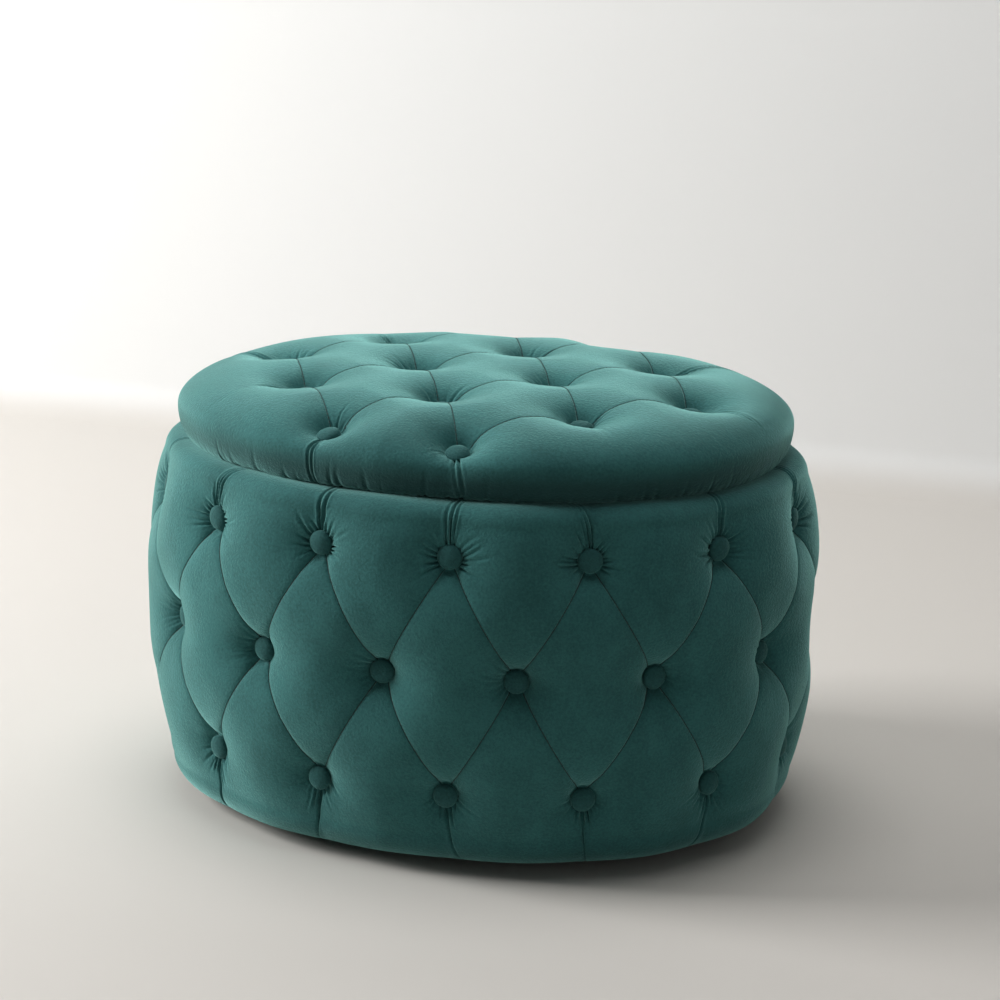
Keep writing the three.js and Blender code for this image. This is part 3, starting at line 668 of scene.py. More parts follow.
class TubSurface:
    """The outside of the tub's padding as a grid.

    Columns count half button spacings round from the first button, and rows count rows of buttons up from
    the lowest.
    """

    def __init__(self):
        self.columns = lattice_steps(0, 2 * COLUMNS, SIDE_CELLS)[:-1]
        share = (self.columns / 2 + FIRST_COLUMN) / COLUMNS
        self.wall, self.outward = oval_along(HALF_LENGTH - PAD_THICK, HALF_WIDTH - PAD_THICK, share)
        section, lengths = tub_section()
        rising = (section[:, 0] < PAD_THICK / 2) & (np.gradient(section[:, 1]) > 0)
        self.row_places = [float(np.interp(z, section[rising, 1], lengths[rising])) for z in ROW_HEIGHTS]
        bottom, _, top = self.row_places
        self.row_step = (top - bottom) / 2
        between = lattice_steps(0, 2, SIDE_CELLS)
        above = growing_steps(lengths[-1] - top, 1.3 * MM, 1.9 * MM, COARSE)[1:]
        below = -growing_steps(bottom, 1.3 * MM, 3.4 * MM, COARSE)[:0:-1]
        self.places = np.concatenate([bottom + below, bottom + between * self.row_step, top + above])
        self.rows = (self.places - bottom) / self.row_step
        self.insets = np.interp(self.places, lengths, section[:, 0])
        self.heights = np.interp(self.places, lengths, section[:, 1])
        outer = self.wall + self.outward * (PAD_THICK - 0.006)
        step = np.linalg.norm(np.roll(outer, -1, 0) - np.roll(outer, 1, 0), axis=1)
        turn = (np.roll(self.columns, -1) - np.roll(self.columns, 1)) % (2 * COLUMNS)
        self.column_step = step / turn
        self.base = self.points_at(self.insets, self.heights)

    def points_at(self, insets, heights):
        flat = self.wall[None] + self.outward[None] * (PAD_THICK - insets)[:, None, None]
        high = np.broadcast_to(heights[:, None, None], (*flat.shape[:2], 1))
        return np.concatenate([flat, high], 2)

    def button_reach(self):
        """Distance from each point of the grid to the nearest button's centre."""
        across = ping_pong(self.columns)
        near = np.full((len(self.rows), len(self.columns)), 1.0)
        for index, place in enumerate(self.row_places):
            side = (across if index != 1 else 1 - across) * self.column_step
            near = np.minimum(near, np.hypot(side[None], (self.places - place)[:, None]))
        return near

    def seams_apart(self):
        """How far each point is from the nearest seams that rise and that fall, from 0 on one to 1 midway.

        Beyond the outer rows both stand for the pleats, which run straight up and down.
        """
        x, y = self.columns[None], self.rows[:, None]
        beyond = (y < 0) | (y > 2)
        straight = np.broadcast_to(ping_pong(x), np.broadcast(x, y).shape)
        return [np.where(beyond, straight, ping_pong(x + side * y)) for side in (1, -1)]

    def edge_fade(self):
        """1 on the side, less where the velvet lies flat on the rim and under the base, 0 in the mouth."""
        at_rim = smooth(self.places, self.row_places[2] + 34 * MM, self.row_places[2] + 84 * MM)
        at_foot = smooth(self.insets, 24 * MM, 44 * MM) * (self.heights < 0.1)
        in_mouth = smooth(self.insets, 62 * MM, 76 * MM) * (self.heights > 0.1)
        return (1 - 0.85 * np.maximum(at_rim, at_foot)) * (1 - in_mouth)

    def tufted(self):
        """Depth of the tufting below the plain padding, before the fine folds."""
        out = np.maximum(self.button_reach() - BUTTON_RADIUS, 0)
        row_depth = [BUTTON_SINK + BUTTON_EDGE_DROP - belly_inset(z) for z in ROW_HEIGHTS]
        floor = np.interp(self.rows, [0, 1, 2], row_depth)[:, None]
        rising, falling = self.seams_apart()
        slant = 0.9 * self.column_step[None]
        valley = np.maximum(seam_valley(rising * slant, out), seam_valley(falling * slant, out))
        swell = 1.2 * MM * np.sin(rising * np.pi / 2) * np.sin(falling * np.pi / 2)
        return (floor * dimple(out) + valley - swell) * self.edge_fade()[:, None]

    def patch(self, column, row, reach, low, high):
        """The part of the grid about a button, with distances across and up from its centre."""
        turn = (self.columns - column + COLUMNS) % (2 * COLUMNS) - COLUMNS
        across = np.nonzero(np.abs(turn * self.column_step) < reach)[0]
        up = self.places - self.row_places[row]
        rows = np.nonzero((up > low) & (up < high))[0]
        return np.ix_(rows, across), (turn * self.column_step)[across][None], up[rows][:, None]

    def folds(self):
        """Depth of the fine folds: pleats to the rim and foot, and wrinkles round the buttons."""
        sizes = settings()
        draw = np.random.default_rng(SEED)
        depth = np.zeros((len(self.places), len(self.columns)))
        for column in range(0, 2 * COLUMNS, 2):
            window, x, y = self.patch(column, 2, 0.04, 0.006, 1.0)
            depth[window] += pleat(x, y - 8 * MM, draw, sizes.pleat_depth)
            window, x, y = self.patch(column, 0, 0.04, -1.0, -0.006)
            depth[window] += foot_fold(x, -y - 8 * MM, draw, sizes.pleat_depth)
            window, x, y = self.patch(column, 2, 0.05, -0.05, 0.05)
            depth[window] += wrinkles(x, y, draw, sizes.wrinkle_depth, 15, 90, 125)
            window, x, y = self.patch(column, 0, 0.05, -0.05, 0.05)
            depth[window] += wrinkles(x, y, draw, 0.6 * sizes.wrinkle_depth, 7, 270, 75)
            window, x, y = self.patch(column + 1, 1, 0.05, -0.05, 0.05)
            depth[window] += wrinkles(x, y, draw, 0.45 * sizes.wrinkle_depth, 7, draw.choice([0, 180]), 50)
        return depth * self.edge_fade()[:, None]

    def groove(self):
        """Depth of the groove that the thread pulls along each seam."""
        distance = np.minimum(*self.seams_apart()) * 0.9 * self.column_step[None]
        sewn = ((self.rows >= 0) & (self.rows <= 2))[:, None]
        return seam_groove(distance, 0.7, 0.25) * sewn


def seam_groove(distance, narrow, wide):
    """Depth of a seam's groove: shares of a narrow groove and of a wider one that fades out."""
    return settings().seam_groove * (narrow * bell(distance, 1.5 * MM) + wide * np.exp(-distance / (3 * MM)))


def dimple(out):
    """Depth of a button's dimple as a share of its deepest, by distance out from the button's edge."""
    return 0.56 * np.exp(-out / (7.5 * MM)) + 0.44 * np.exp(-((out / (29 * MM)) ** 1.5))


def seam_valley(distance, out):
    """Depth of the shallow valley along a seam, deeper and wider towards the buttons at its ends."""
    sizes = settings()
    near = np.exp(-out / (20 * MM)) * smooth(out, 0, 9 * MM)
    half_width = 8 * MM + 12 * MM * smooth(out, 0, 40 * MM)
    crease = np.sqrt((distance / half_width) ** 2 + 0.06**2) - 0.06
    return (sizes.seam_depth + 3.0 * MM * near) * np.maximum(1 - crease, 0) ** 2 * smooth(out, 0, 5 * MM)


def pleat(x, t, draw, depth, broad=1.0):
    """A fold that runs t away from a button's edge: two or three grooves with soft ridges between them."""
    bend = draw.uniform(-0.1, 0.1) * t + draw.uniform(-4.5, 4.5) * t**2
    spread = 0.62 + 0.5 * smooth(t, 0, 40 * MM) * draw.uniform(0.6, 1.4)
    side = draw.choice([-1, 1])
    x = side * (x - bend) / spread
    places = ((-4.6, 0.8), (-0.2, 1.0), (4.4, 0.6)) if draw.uniform() < 0.6 else ((-2.6, 1.0), (2.4, 0.75))
    fold = 0
    for place, share in places:
        at = place * MM * draw.uniform(0.85, 1.15)
        width = draw.uniform(1.0, 1.4) * broad * MM
        reach = draw.uniform(26, 70) * MM
        kept = 1 - 0.6 * smooth(t, 0.4 * reach, reach)
        fold = fold + share * draw.uniform(0.8, 1.15) * kept * bell(x - at, width)
        fold = fold - 0.42 * share * kept * bell(np.abs(x - at) - 2.3 * MM, 1.5 * MM)
    return depth * fold * smooth(t, -2 * MM, 5 * MM)


def foot_fold(x, t, draw, depth):
    """Folds from a button to the foot: a long one that thins out, and shorter ones that spread from it."""
    x = x - draw.uniform(-0.08, 0.08) * t - draw.uniform(-3, 3) * t**2
    side = draw.choice([-1, 1])
    width = (1.9 - 0.9 * smooth(t, 0, 34 * MM)) * MM
    fold = 1.25 * bell(x, width) * (1 - 0.55 * smooth(t, 24 * MM, 66 * MM))
    for place, spread, share, length in ((3.6, 0.10, 1.0, 30), (-3.9, -0.14, 0.8, 20), (7.4, 0.22, 0.5, 15)):
        reach = length * MM * draw.uniform(0.8, 1.3)
        at = side * (place * MM + spread * draw.uniform(0.6, 1.4) * t)
        kept = share * (1 - smooth(t, 0.3 * reach, reach))
        fold = fold + kept * (bell(x - at, 1.15 * MM) - 0.5 * bell(np.abs(x - at) - 1.9 * MM, 1.1 * MM))
    return depth * fold * smooth(t, -1 * MM, 4 * MM)


def wrinkles(x, y, draw, depth, count, middle, half_angle):
    """Short grooves that run out from a button's edge, within half_angle degrees of a middle direction."""
    reach = np.hypot(x, y)
    angle = np.degrees(np.arctan2(y, x))
    field = np.zeros(reach.shape)
    for index in range(count):
        share = (index + draw.uniform(0.2, 0.8)) / count * 2 - 1
        length = draw.uniform(12, 33) * MM
        bend = draw.uniform(-14, 14)
        out = (reach - BUTTON_RADIUS) / length
        side = (angle - middle - share * half_angle - bend * out + 180) % 360 - 180
        lateral = np.radians(side) * reach
        width = draw.uniform(0.95, 1.4) * MM * (0.75 + 0.7 * np.clip(out, 0, 1))
        window = np.clip(out * 8 + 0.4, 0, 1) * np.clip(1 - out, 0, 1) ** 1.1
        strength = depth * draw.uniform(0.45, 1.15)
        ridges = 0.4 * bell(np.abs(lateral) - 2.2 * width, 1.2 * width)
        field += strength * window * (bell(lateral, width) - ridges)
    return field


def wrapped_cells(rows, columns, closes_up):
    """Corner indices of the cells of a grid whose columns close round, and whose rows do too if closes_up."""
    index = np.arange(rows * columns).reshape(rows, columns)
    above = np.roll(index, -1, 0)
    corners = (index, np.roll(index, -1, 1), np.roll(above, -1, 1), above)
    return [corner[: rows if closes_up else rows - 1].ravel() for corner in corners]


def closed_rings(rings, around):
    """Triangles of rings of points one after another. Two more points, last on the list, close their ends."""
    cells = wrapped_cells(rings, around, False)
    first = np.arange(around)
    last = first + (rings - 1) * around
    end = np.full(around, rings * around)
    return np.concatenate([
        split_cells(*cells, np.ones(len(cells[0]), bool)),
        np.stack([np.roll(first, -1), first, end], 1),
        np.stack([last, np.roll(last, -1), end + 1], 1),
    ])


def rising_seams(columns, rows, shift=0):
    """Whether the seam through each cell of a grid rises, with its column and row growing together."""
    middle = np.floor(columns + NUDGE)[None] + np.floor(rows + NUDGE)[:, None] + shift
    return middle % 2 == 0


def firmly_held(surface, beyond, from_seam):
    """How firmly the coarse cloth is held: wholly at the buttons and where beyond says so, a little at seams.

    from_seam counts from 0 on a seam to 1 midway to the next.
    """
    still = (surface.button_reach() < BUTTON_RADIUS * HELD_RADII) | beyond
    return np.maximum(still, SEAM_HOLD * bell(from_seam, SEAM_HOLD_WIDTH))[::COARSE, ::COARSE]


def tub_swelling(surface, points):
    """How far the cloth simulation, run on every COARSE-th line of the tub's grid, moves all its points."""
    coarse = points[::COARSE, ::COARSE]
    rising = rising_seams(surface.columns[::COARSE], surface.rows[::COARSE][:-1])
    triangles = split_cells(*wrapped_cells(*coarse.shape[:2], False), rising.ravel())
    beyond = (surface.insets > TUB_HELD_INSET)[:, None]
    pins = firmly_held(surface, beyond, np.minimum(*surface.seams_apart()))
    moved = swollen("tub_cloth", coarse.reshape(-1, 3), triangles, pins.ravel()).reshape(coarse.shape)
    return refine(capped(moved - coarse, settings().cloth_reach), COARSE, True)


def tub_padding():
    surface = TubSurface()
    points = surface.base - grid_normals(surface.base, True) * surface.tufted()[..., None]
    rows, columns = points.shape[:2]
    points = points + tub_swelling(surface, points)
    x, y = surface.columns[None] * surface.column_step.mean(), surface.places[:, None]
    fade = surface.edge_fade()[:, None]
    uneven = ripples(x, y, UNEVEN_WAVE, SEED + 1, 0.35 * MM) * fade
    fine = surface.folds() + surface.groove() + uneven
    points = points - grid_normals(points, True) * fine[..., None]
    inner = mouth_wall()
    points = np.concatenate([points, surface.points_at(inner[:, 0], inner[:, 1])])
    total = len(points)
    lattice_rows = np.concatenate([surface.rows, np.full(total - rows, surface.rows[-1])])
    rising = rising_seams(surface.columns, lattice_rows)
    triangles = split_cells(*wrapped_cells(total, columns, True), rising.ravel())
    velvet = material("velvet", velvet_finish, "velvet_teal", seams_shift=0.0)
    foam = material("foam", foam_finish)
    row_of = np.repeat(np.repeat(np.arange(total), columns), 2)
    piece = mesh_object("tub_padding", points.reshape(-1, 3), triangles, (velvet, foam), row_of >= rows - 1)
    add_lattice(piece, triangles, surface.columns, lattice_rows, columns, 2 * COLUMNS)
    add_unrolled(piece, triangles, points, surface.columns, 2 * COLUMNS)
    sewn = np.broadcast_to(((lattice_rows >= 0) & (lattice_rows <= 2))[:, None], (total, columns))
    add_number(piece, "sewn", sewn)
    # Painted shade under the foot: the velvet is painted darker below 40 mm from the floor, half way to the
    # under colour at most.
    low = np.concatenate([0.5 * smooth(surface.heights, 40 * MM, 12 * MM), np.zeros(total - rows)])
    add_number(piece, "under", np.broadcast_to(low[:, None], (total, columns)))
    return piece, surface, points[:rows]


def counted_on(values, around):
    """Places round the padding for each face's corners, where a face across the join goes on counting."""
    crosses = np.ptp(values, axis=1) > around / 2
    return np.where(crosses[:, None] & (values < around / 2), values + around, values)


def add_lattice(piece, triangles, columns, rows, count, around):
    """The lattice map: each corner's column and row."""
    x = counted_on(columns[triangles % count], around)
    add_map(piece, "Lattice", np.stack([x, rows[triangles // count]], -1))


def add_unrolled(piece, triangles, points, columns, around):
    """A map of the whole ring of padding cut open and laid flat."""
    rows, count = points.shape[:2]
    x = counted_on(columns[triangles % count], around)
    row = counted_on(triangles // count, rows)
    steps = np.linalg.norm(np.diff(points, axis=0, append=points[:1]), axis=2).mean(1)
    lengths = np.concatenate([[0], np.cumsum(steps)])
    add_map(piece, "OFBake", np.stack([x / (around + 1), lengths[row] / lengths[-1]], -1))


def add_number(piece, name, values):
    field = piece.data.attributes.new(name, "FLOAT", "POINT")
    field.data.foreach_set("value", np.ascontiguousarray(values, np.float32).ravel())


# ---- The lid's padding ----
def lid_section():
    """How the velvet wraps the lid, from its middle outward.

    A reach is measured along the velvet from the middle, as a share of the lid's half length. Each has a
    share of the lid's plan, how far in it lies from the widest line, and its height.
    """
    widest = LID_BOTTOM + LID_WAIST
    rise = CROWN - widest
    first = math.acos(LID_FLAT_SHARE ** (LID_CROWN_POWER / 2))
    shares = np.linspace(0, LID_FLAT_SHARE, 60)
    plan = np.cos(np.linspace(first, 0, 80)) ** (2 / LID_CROWN_POWER)
    crown = np.concatenate([shares[:-1], plan])
    heights = widest + rise * np.sqrt(1 - crown**LID_CROWN_POWER)
    lower = np.linspace(0, np.pi / 2, 24)[1:]
    tucked = LID_TUCK * (1 - np.cos(lower))
    dropped = widest - LID_WAIST * np.sin(lower)
    under = np.linspace(LID_TUCK, LID_UNDER_END + 0.03, 40)[1:]
    share = np.concatenate([crown, np.ones(len(tucked) + len(under))])
    inset = np.concatenate([np.zeros(len(crown)), tucked, under])
    height = np.concatenate([heights, dropped, np.full(len(under), LID_BOTTOM)])
    steps = np.hypot(np.diff(share * LID_LENGTH - inset), np.diff(height))
    flat_steps = len(shares) - 1
    steps[:flat_steps] = np.diff(share)[:flat_steps] * LID_LENGTH
    reach = np.concatenate([[0], np.cumsum(steps)]) / LID_LENGTH
    return reach, share, inset, height


def lid_outline(x, y):
    """The superellipse radius of a point of the lid's plan, 1 on its widest line."""
    return (np.abs(x / LID_LENGTH) ** OVAL_POWER + np.abs(y / LID_WIDTH) ** OVAL_POWER) ** (1 / OVAL_POWER)


def lattice_to_plan(column, row):
    """Where a point of the lid's lattice lies on its plan. Buttons stand where column and row sum to odd."""
    closer = 1 - (1 - LID_END_ROW_SHARE) * smooth(np.abs(row), 1, 2)
    x, y = column * LID_COLUMN * closer, row * LID_ROW
    return x * math.cos(LID_TURN) - y * math.sin(LID_TURN), x * math.sin(LID_TURN) + y * math.cos(LID_TURN)


def lid_sites():
    """Lattice places of the lid's buttons."""
    middle = (len(LID_ROWS) - 1) / 2
    return [(2 * i - (count - 1), row - middle) for row, count in enumerate(LID_ROWS) for i in range(count)]


class LidSurface:
    """The outside of the lid's padding: a flat lattice of velvet, wrapped over the crown and the edge."""

    def __init__(self):
        self.columns = lattice_steps(-6, 6, LID_CELLS)
        self.rows = lattice_steps(-4, 4, LID_CELLS)
        column, row = self.columns[None], self.rows[:, None]
        self.x, self.y = lattice_to_plan(*np.broadcast_arrays(column, row))
        self.reach = lid_outline(self.x, self.y)
        self.section = lid_section()
        reach, _, inset, _ = self.section
        self.last = float(np.interp(LID_UNDER_END, inset, reach))
        self.base = self.wrapped(self.x, self.y)
        self.sites = lid_sites()
        self.centres = np.array([lattice_to_plan(*site) for site in self.sites])
        self.outer_sites = [i for i, site in enumerate(self.sites) if self.is_outer(site)]

    def is_outer(self, site):
        column, row = site
        around = [(column + dx, row + dy) for dx in (-1, 1) for dy in (-1, 1)]
        return any(place not in self.sites for place in around)

    def wrapped(self, x, y):
        reach, share, inset, height = self.section
        q = lid_outline(x, y)
        scale = np.interp(q, reach, share) / np.maximum(q, 1e-6)
        scale = np.where(q < LID_FLAT_SHARE, 1, scale)
        inward = np.interp(q, reach, inset) / np.maximum(q, 1e-6)
        flat_x = x * (scale - inward / LID_LENGTH)
        flat_y = y * (scale - inward / LID_WIDTH)
        return np.stack([flat_x, flat_y, np.interp(q, reach, height)], -1)

    def seams(self):
        """Pairs of neighbouring buttons, by number."""
        index = {site: i for i, site in enumerate(self.sites)}
        pairs = []
        for (column, row), i in index.items():
            above = [(column + side, row + 1) for side in (-1, 1)]
            pairs += [(i, index[place]) for place in above if place in index]
        return pairs

    def outward(self, centre):
        """The way from a button straight to the lid's edge."""
        axes = np.array([LID_LENGTH, LID_WIDTH])
        way = signed_power(centre / axes, OVAL_POWER - 1) / axes
        return way / np.linalg.norm(way)

    def button_reach(self):
        near = np.full(self.x.shape, 1.0)
        for x, y in self.centres:
            near = np.minimum(near, np.hypot(self.x - x, self.y - y))
        return near

    def seam_reach(self):
        """Distance from each point to the nearest seam, which is straight on the lattice."""
        near = np.full(self.x.shape, 1.0)
        step = np.array([LID_COLUMN, LID_ROW])
        x, y = self.columns[None] * LID_COLUMN, self.rows[:, None] * LID_ROW
        for first, second in self.seams():
            a, b = (np.array(self.sites[i]) * step for i in (first, second))
            way = b - a
            t = np.clip(((x - a[0]) * way[0] + (y - a[1]) * way[1]) / (way @ way), 0, 1)
            near = np.minimum(near, np.hypot(x - a[0] - t * way[0], y - a[1] - t * way[1]))
        return near

    def to_edge(self, site):
        """Distances across and along the pleat that runs from an outer button to the lid's edge."""
        centre = self.centres[site]
        way = self.outward(centre)
        x, y = self.x - centre[0], self.y - centre[1]
        return way[0] * y - way[1] * x, way[0] * x + way[1] * y

    def under_fade(self):
        """1 on the crown and sides, less where the velvet is pulled flat under the lid."""
        return 1 - 0.85 * smooth(self.reach, self.last - LID_HELD_REACH, self.last - 0.1)

    def tufted(self):
        """Depth of the tufting below the plain crown, before the fine folds."""
        out = np.maximum(self.button_reach() - BUTTON_RADIUS, 0)
        for site in self.outer_sites:
            across, t = self.to_edge(site)
            away = np.hypot(across, t)
            towards_edge = np.clip(t / np.maximum(away, MM), 0, 1) ** 2 * smooth(away, 60 * MM, 25 * MM)
            out = np.minimum(out, np.maximum(away - BUTTON_RADIUS, 0) * (1 - 0.35 * towards_edge))
        valley = 0.45 * seam_valley(self.seam_reach(), out)
        for site in self.outer_sites:
            across, t = self.to_edge(site)
            fold = seam_valley(np.abs(across), out) * smooth(t, -2 * MM, 4 * MM)
            valley = np.maximum(valley, fold * smooth(t, 0.09, 0.03))
        floor = LID_SINK + BUTTON_EDGE_DROP
        return (floor * dimple(out) + valley) * self.under_fade()

    def folds(self):
        sizes = settings()
        draw = np.random.default_rng(SEED + 5)
        depth = np.zeros(self.x.shape)
        for site in self.outer_sites:
            across, t = self.to_edge(site)
            near = (np.abs(across) < 16 * MM) & (t > 6 * MM)
            share = 0.85 * LID_SLACK_PLEATS.get(self.sites[site], 1)
            depth[near] += pleat(across[near], t[near] - 8 * MM, draw, share * sizes.pleat_depth, 1.3)
        for x, y in self.centres:
            across, along = self.x - x, self.y - y
            near = np.hypot(across, along) < 0.045
            turned = draw.choice([0, 90, 180, 270])
            depth[near] += wrinkles(across[near], along[near], draw, 0.4 * sizes.wrinkle_depth, 5, turned, 60)
        return (depth + self.gathers(draw)) * self.under_fade()

    def gathers(self, draw):
        """Short folds that run up from the lid's lower edge, where the velvet's fullness is pulled under."""
        radius = 0.27
        around = np.arctan2(self.y / LID_WIDTH, self.x / LID_LENGTH)
        rise = (self.last - 0.16 - self.reach) * LID_LENGTH
        field = np.zeros(self.x.shape)
        angle = -np.pi
        while angle < np.pi:
            angle += draw.uniform(4, 14) * MM / radius
            height = draw.uniform(14, 46) * MM
            width = draw.uniform(1.1, 2.0) * MM
            strength = draw.uniform(0.2, 1.0) ** 1.5 * 1.5 * MM
            lean = draw.uniform(-0.12, 0.12)
            side = (around - angle + np.pi) % (2 * np.pi) - np.pi
            lateral = side * radius - lean * (rise + 0.02)
            field += strength * bell(lateral, width) * smooth(rise, height, 0) * (self.reach > 0.9)
        return field


def lid_grid_triangles(surface, step, inside):
    """Triangles of every step-th line of the lid's grid, where all corners of a cell are inside."""
    rows, columns = inside.shape
    index = np.arange(rows * columns).reshape(rows, columns)
    keep = inside[:-1, :-1] & inside[1:, :-1] & inside[:-1, 1:] & inside[1:, 1:]
    corners = (index[:-1, :-1], index[:-1, 1:], index[1:, 1:], index[1:, :-1])
    rising = rising_seams(surface.columns[::step][:-1], surface.rows[::step][:-1], 1)
    return split_cells(*[corner[keep] for corner in corners], rising[keep])


def used_only(points, triangles):
    """The points that the triangles use, the triangles renumbered to them, and which points those are."""
    used = np.unique(triangles)
    number = np.full(len(points), -1)
    number[used] = np.arange(len(used))
    return points[used], number[triangles], used


def border_of(triangles):
    """The ring of vertices round the open edge of a sheet, in order."""
    edges = np.concatenate([triangles[:, [0, 1]], triangles[:, [1, 2]], triangles[:, [2, 0]]])
    count = int(edges.max()) + 1
    shared = np.isin(edges[:, 0] * count + edges[:, 1], edges[:, 1] * count + edges[:, 0])
    following = dict(edges[~shared].tolist())
    ring = [next(iter(following))]
    while following[ring[-1]] != ring[0]:
        ring.append(following[ring[-1]])
    return np.array(ring)


def without_ears(triangles):
    """The triangles of a sheet without the ones that have every corner on its edge."""
    while True:
        on_edge = np.zeros(triangles.max() + 1, bool)
        on_edge[border_of(triangles)] = True
        ears = on_edge[triangles].all(1)
        if not ears.any():
            return triangles
        triangles = triangles[~ears]


def lid_swelling(surface, points):
    """How far the cloth simulation, run on every COARSE-th line of the lid's grid, moves all its points."""
    coarse = points[::COARSE, ::COARSE]
    inside = surface.reach[::COARSE, ::COARSE] < surface.last
    sheet, faces, used = used_only(coarse.reshape(-1, 3), lid_grid_triangles(surface, COARSE, inside))
    beyond = surface.reach > surface.last - LID_HELD_REACH
    pins = firmly_held(surface, beyond, surface.seam_reach() / LID_SEAM_SPAN)
    moved = swollen("lid_cloth", sheet, faces, pins.ravel()[used])
    movement = np.zeros((coarse.size // 3, 3))
    movement[used] = capped(moved - sheet, settings().cloth_reach)
    return refine(movement.reshape(coarse.shape), COARSE, False)


def lid_padding():
    surface = LidSurface()
    points = surface.base - grid_normals(surface.base, False) * surface.tufted()[..., None]
    points = points + lid_swelling(surface, points)
    distance = surface.seam_reach()
    uneven = ripples(surface.x, surface.y, UNEVEN_WAVE, SEED + 6, 0.4 * MM) * surface.under_fade()
    fine = surface.folds() + seam_groove(distance, 0.3, 0.2) + uneven
    points = points - grid_normals(points, False) * fine[..., None]
    inside = surface.reach < surface.last
    triangles = without_ears(lid_grid_triangles(surface, 1, inside))
    sheet, faces, used = used_only(points.reshape(-1, 3), triangles)
    closed_points, closed_faces = closed_under_lid(surface, sheet, faces, used)
    velvet = material("lid_velvet", velvet_finish, "velvet_teal_lid", seams_shift=1.0, line_shown=0.3)
    foam = material("foam", foam_finish)
    hidden = np.arange(len(closed_faces)) >= len(faces)
    piece = mesh_object("lid_padding", closed_points, closed_faces, (velvet, foam), hidden)
    add_lid_maps(piece, surface, closed_faces, len(faces), used)
    on_seam = np.zeros(len(closed_points))
    on_seam[: len(used)] = (distance.ravel()[used] < 6 * MM)
    add_number(piece, "sewn", on_seam)
    widest = LID_BOTTOM + LID_WAIST
    # Painted shade: the velvet below the lid's widest line, where it turns under towards the tub, is painted
    # darker.
    turned = 0.85 * smooth(closed_points[:, 2], widest + 8 * MM, widest - 16 * MM)
    add_number(piece, "under", turned * (np.arange(len(closed_points)) < len(used)))
    return piece, surface, points


def add_lid_maps(piece, surface, triangles, outer, used):
    """The lattice map, and a flat one, where outer counts the faces on the outside."""
    flat = np.stack(np.meshgrid(surface.columns, surface.rows), -1).reshape(-1, 2)[used]
    flat = np.concatenate([flat, np.zeros((len(piece.data.vertices) - len(used), 2))])
    add_map(piece, "Lattice", flat[triangles])
    width = 12 * LID_COLUMN
    sheet = 0.5 + flat[triangles[:outer]] * np.array([LID_COLUMN, LID_ROW]) / width - np.array([0, 0.1])
    around = (len(triangles) - outer) // (2 * 3 + 1)  # faces round each of three strips, and round the disc
    add_map(piece, "OFBake", np.concatenate([sheet, underside_map(around)]))


def evened(angle, passes=30):
    """Angles round a ring, spread out so that no two neighbours stand on the same spot."""
    angle = np.unwrap(angle)
    turn = round((angle[-1] - angle[0]) / (2 * np.pi)) * 2 * np.pi
    for _ in range(passes):
        before, after = np.roll(angle, 1), np.roll(angle, -1)
        before[0] -= turn
        after[-1] += turn
        angle = 0.5 * angle + 0.25 * (before + after)
    return angle


def closed_under_lid(surface, sheet, faces, used):
    """The sheet with its open edge drawn to an even oval and closed round the lid board."""
    ring = border_of(faces)
    sheet = sheet.copy()
    angle = np.arctan2(surface.y.ravel()[used[ring]] / LID_WIDTH, surface.x.ravel()[used[ring]] / LID_LENGTH)
    angle = evened(angle)
    x, y = LID_LENGTH * np.cos(angle), LID_WIDTH * np.sin(angle)
    q = lid_outline(x, y)
    sheet[ring] = surface.wrapped(x * surface.last / q, y * surface.last / q)
    way = np.stack([x / q / LID_LENGTH, y / q / LID_WIDTH], 1)
    board_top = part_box("lid_board")[1].z + 0.3 * MM
    above = LID_BOTTOM + 1.5 * MM
    steps = [(LID_UNDER_END, above), (LID_BOARD_INSET, above), (LID_BOARD_INSET, board_top)]
    points, triangles = [sheet], [faces]
    last, total = ring, len(sheet)
    for inset, height in steps:
        flat = way * np.array([LID_LENGTH - inset, LID_WIDTH - inset])
        points.append(np.concatenate([flat, np.full((len(ring), 1), height)], 1))
        fresh = total + np.arange(len(ring))
        after, fresh_after = np.roll(last, -1), np.roll(fresh, -1)
        triangles += [np.stack([after, last, fresh], 1), np.stack([after, fresh, fresh_after], 1)]
        last, total = fresh, total + len(ring)
    points.append([[0, 0, board_top]])
    triangles.append(np.stack([np.roll(last, -1), last, np.full(len(ring), total)], 1))
    return np.concatenate(points), np.concatenate(triangles)


def underside_map(count):
    """Where the faces that close the lid's padding lie on its flat map: three strips and a disc."""
    near = (count - np.arange(count)) / count
    after = (count - 1 - np.arange(count)) / count
    corners = []
    for level in range(3):
        low, high = (np.full(count, 0.81 + 0.04 * step) for step in (level, level + 1))
        square = [np.stack(place, -1) for place in ((after, low), (near, low), (near, high), (after, high))]
        corners += [np.stack(square[:3], 1), np.stack([square[0], *square[2:]], 1)]
    ends = [np.stack([np.cos(2 * np.pi * t), np.sin(2 * np.pi * t)], -1) for t in (after, near)]
    disc = np.stack([*ends, np.zeros((count, 2))], 1)
    corners.append(np.array([0.5, 0.965]) + 0.03 * disc)
    return np.concatenate(corners)


# ---- Pieces that repeat, set out by geometry nodes ----
def node_group(name, inputs):
    """A geometry node tree with these named inputs, as a Graph and its group input node."""
    tree = bpy.data.node_groups.new(name, "GeometryNodeTree")
    for title, kind in (("Geometry", "Geometry"), *inputs):
        tree.interface.new_socket(title, in_out="INPUT", socket_type=f"NodeSocket{kind}")
    tree.interface.new_socket("Geometry", in_out="OUTPUT", socket_type="NodeSocketGeometry")
    graph = Graph(tree)
    return graph, graph.node("NodeGroupInput")


def finish_group(graph, source, instances):
    real = graph.node("GeometryNodeRealizeInstances", values={"Geometry": instances})
    values = {"Geometry": real.outputs[0], "Material": source.outputs["Material"]}
    coated = graph.node("GeometryNodeSetMaterial", values=values)
    graph.node("NodeGroupOutput", values={"Geometry": coated.outputs[0]})
    return graph.tree


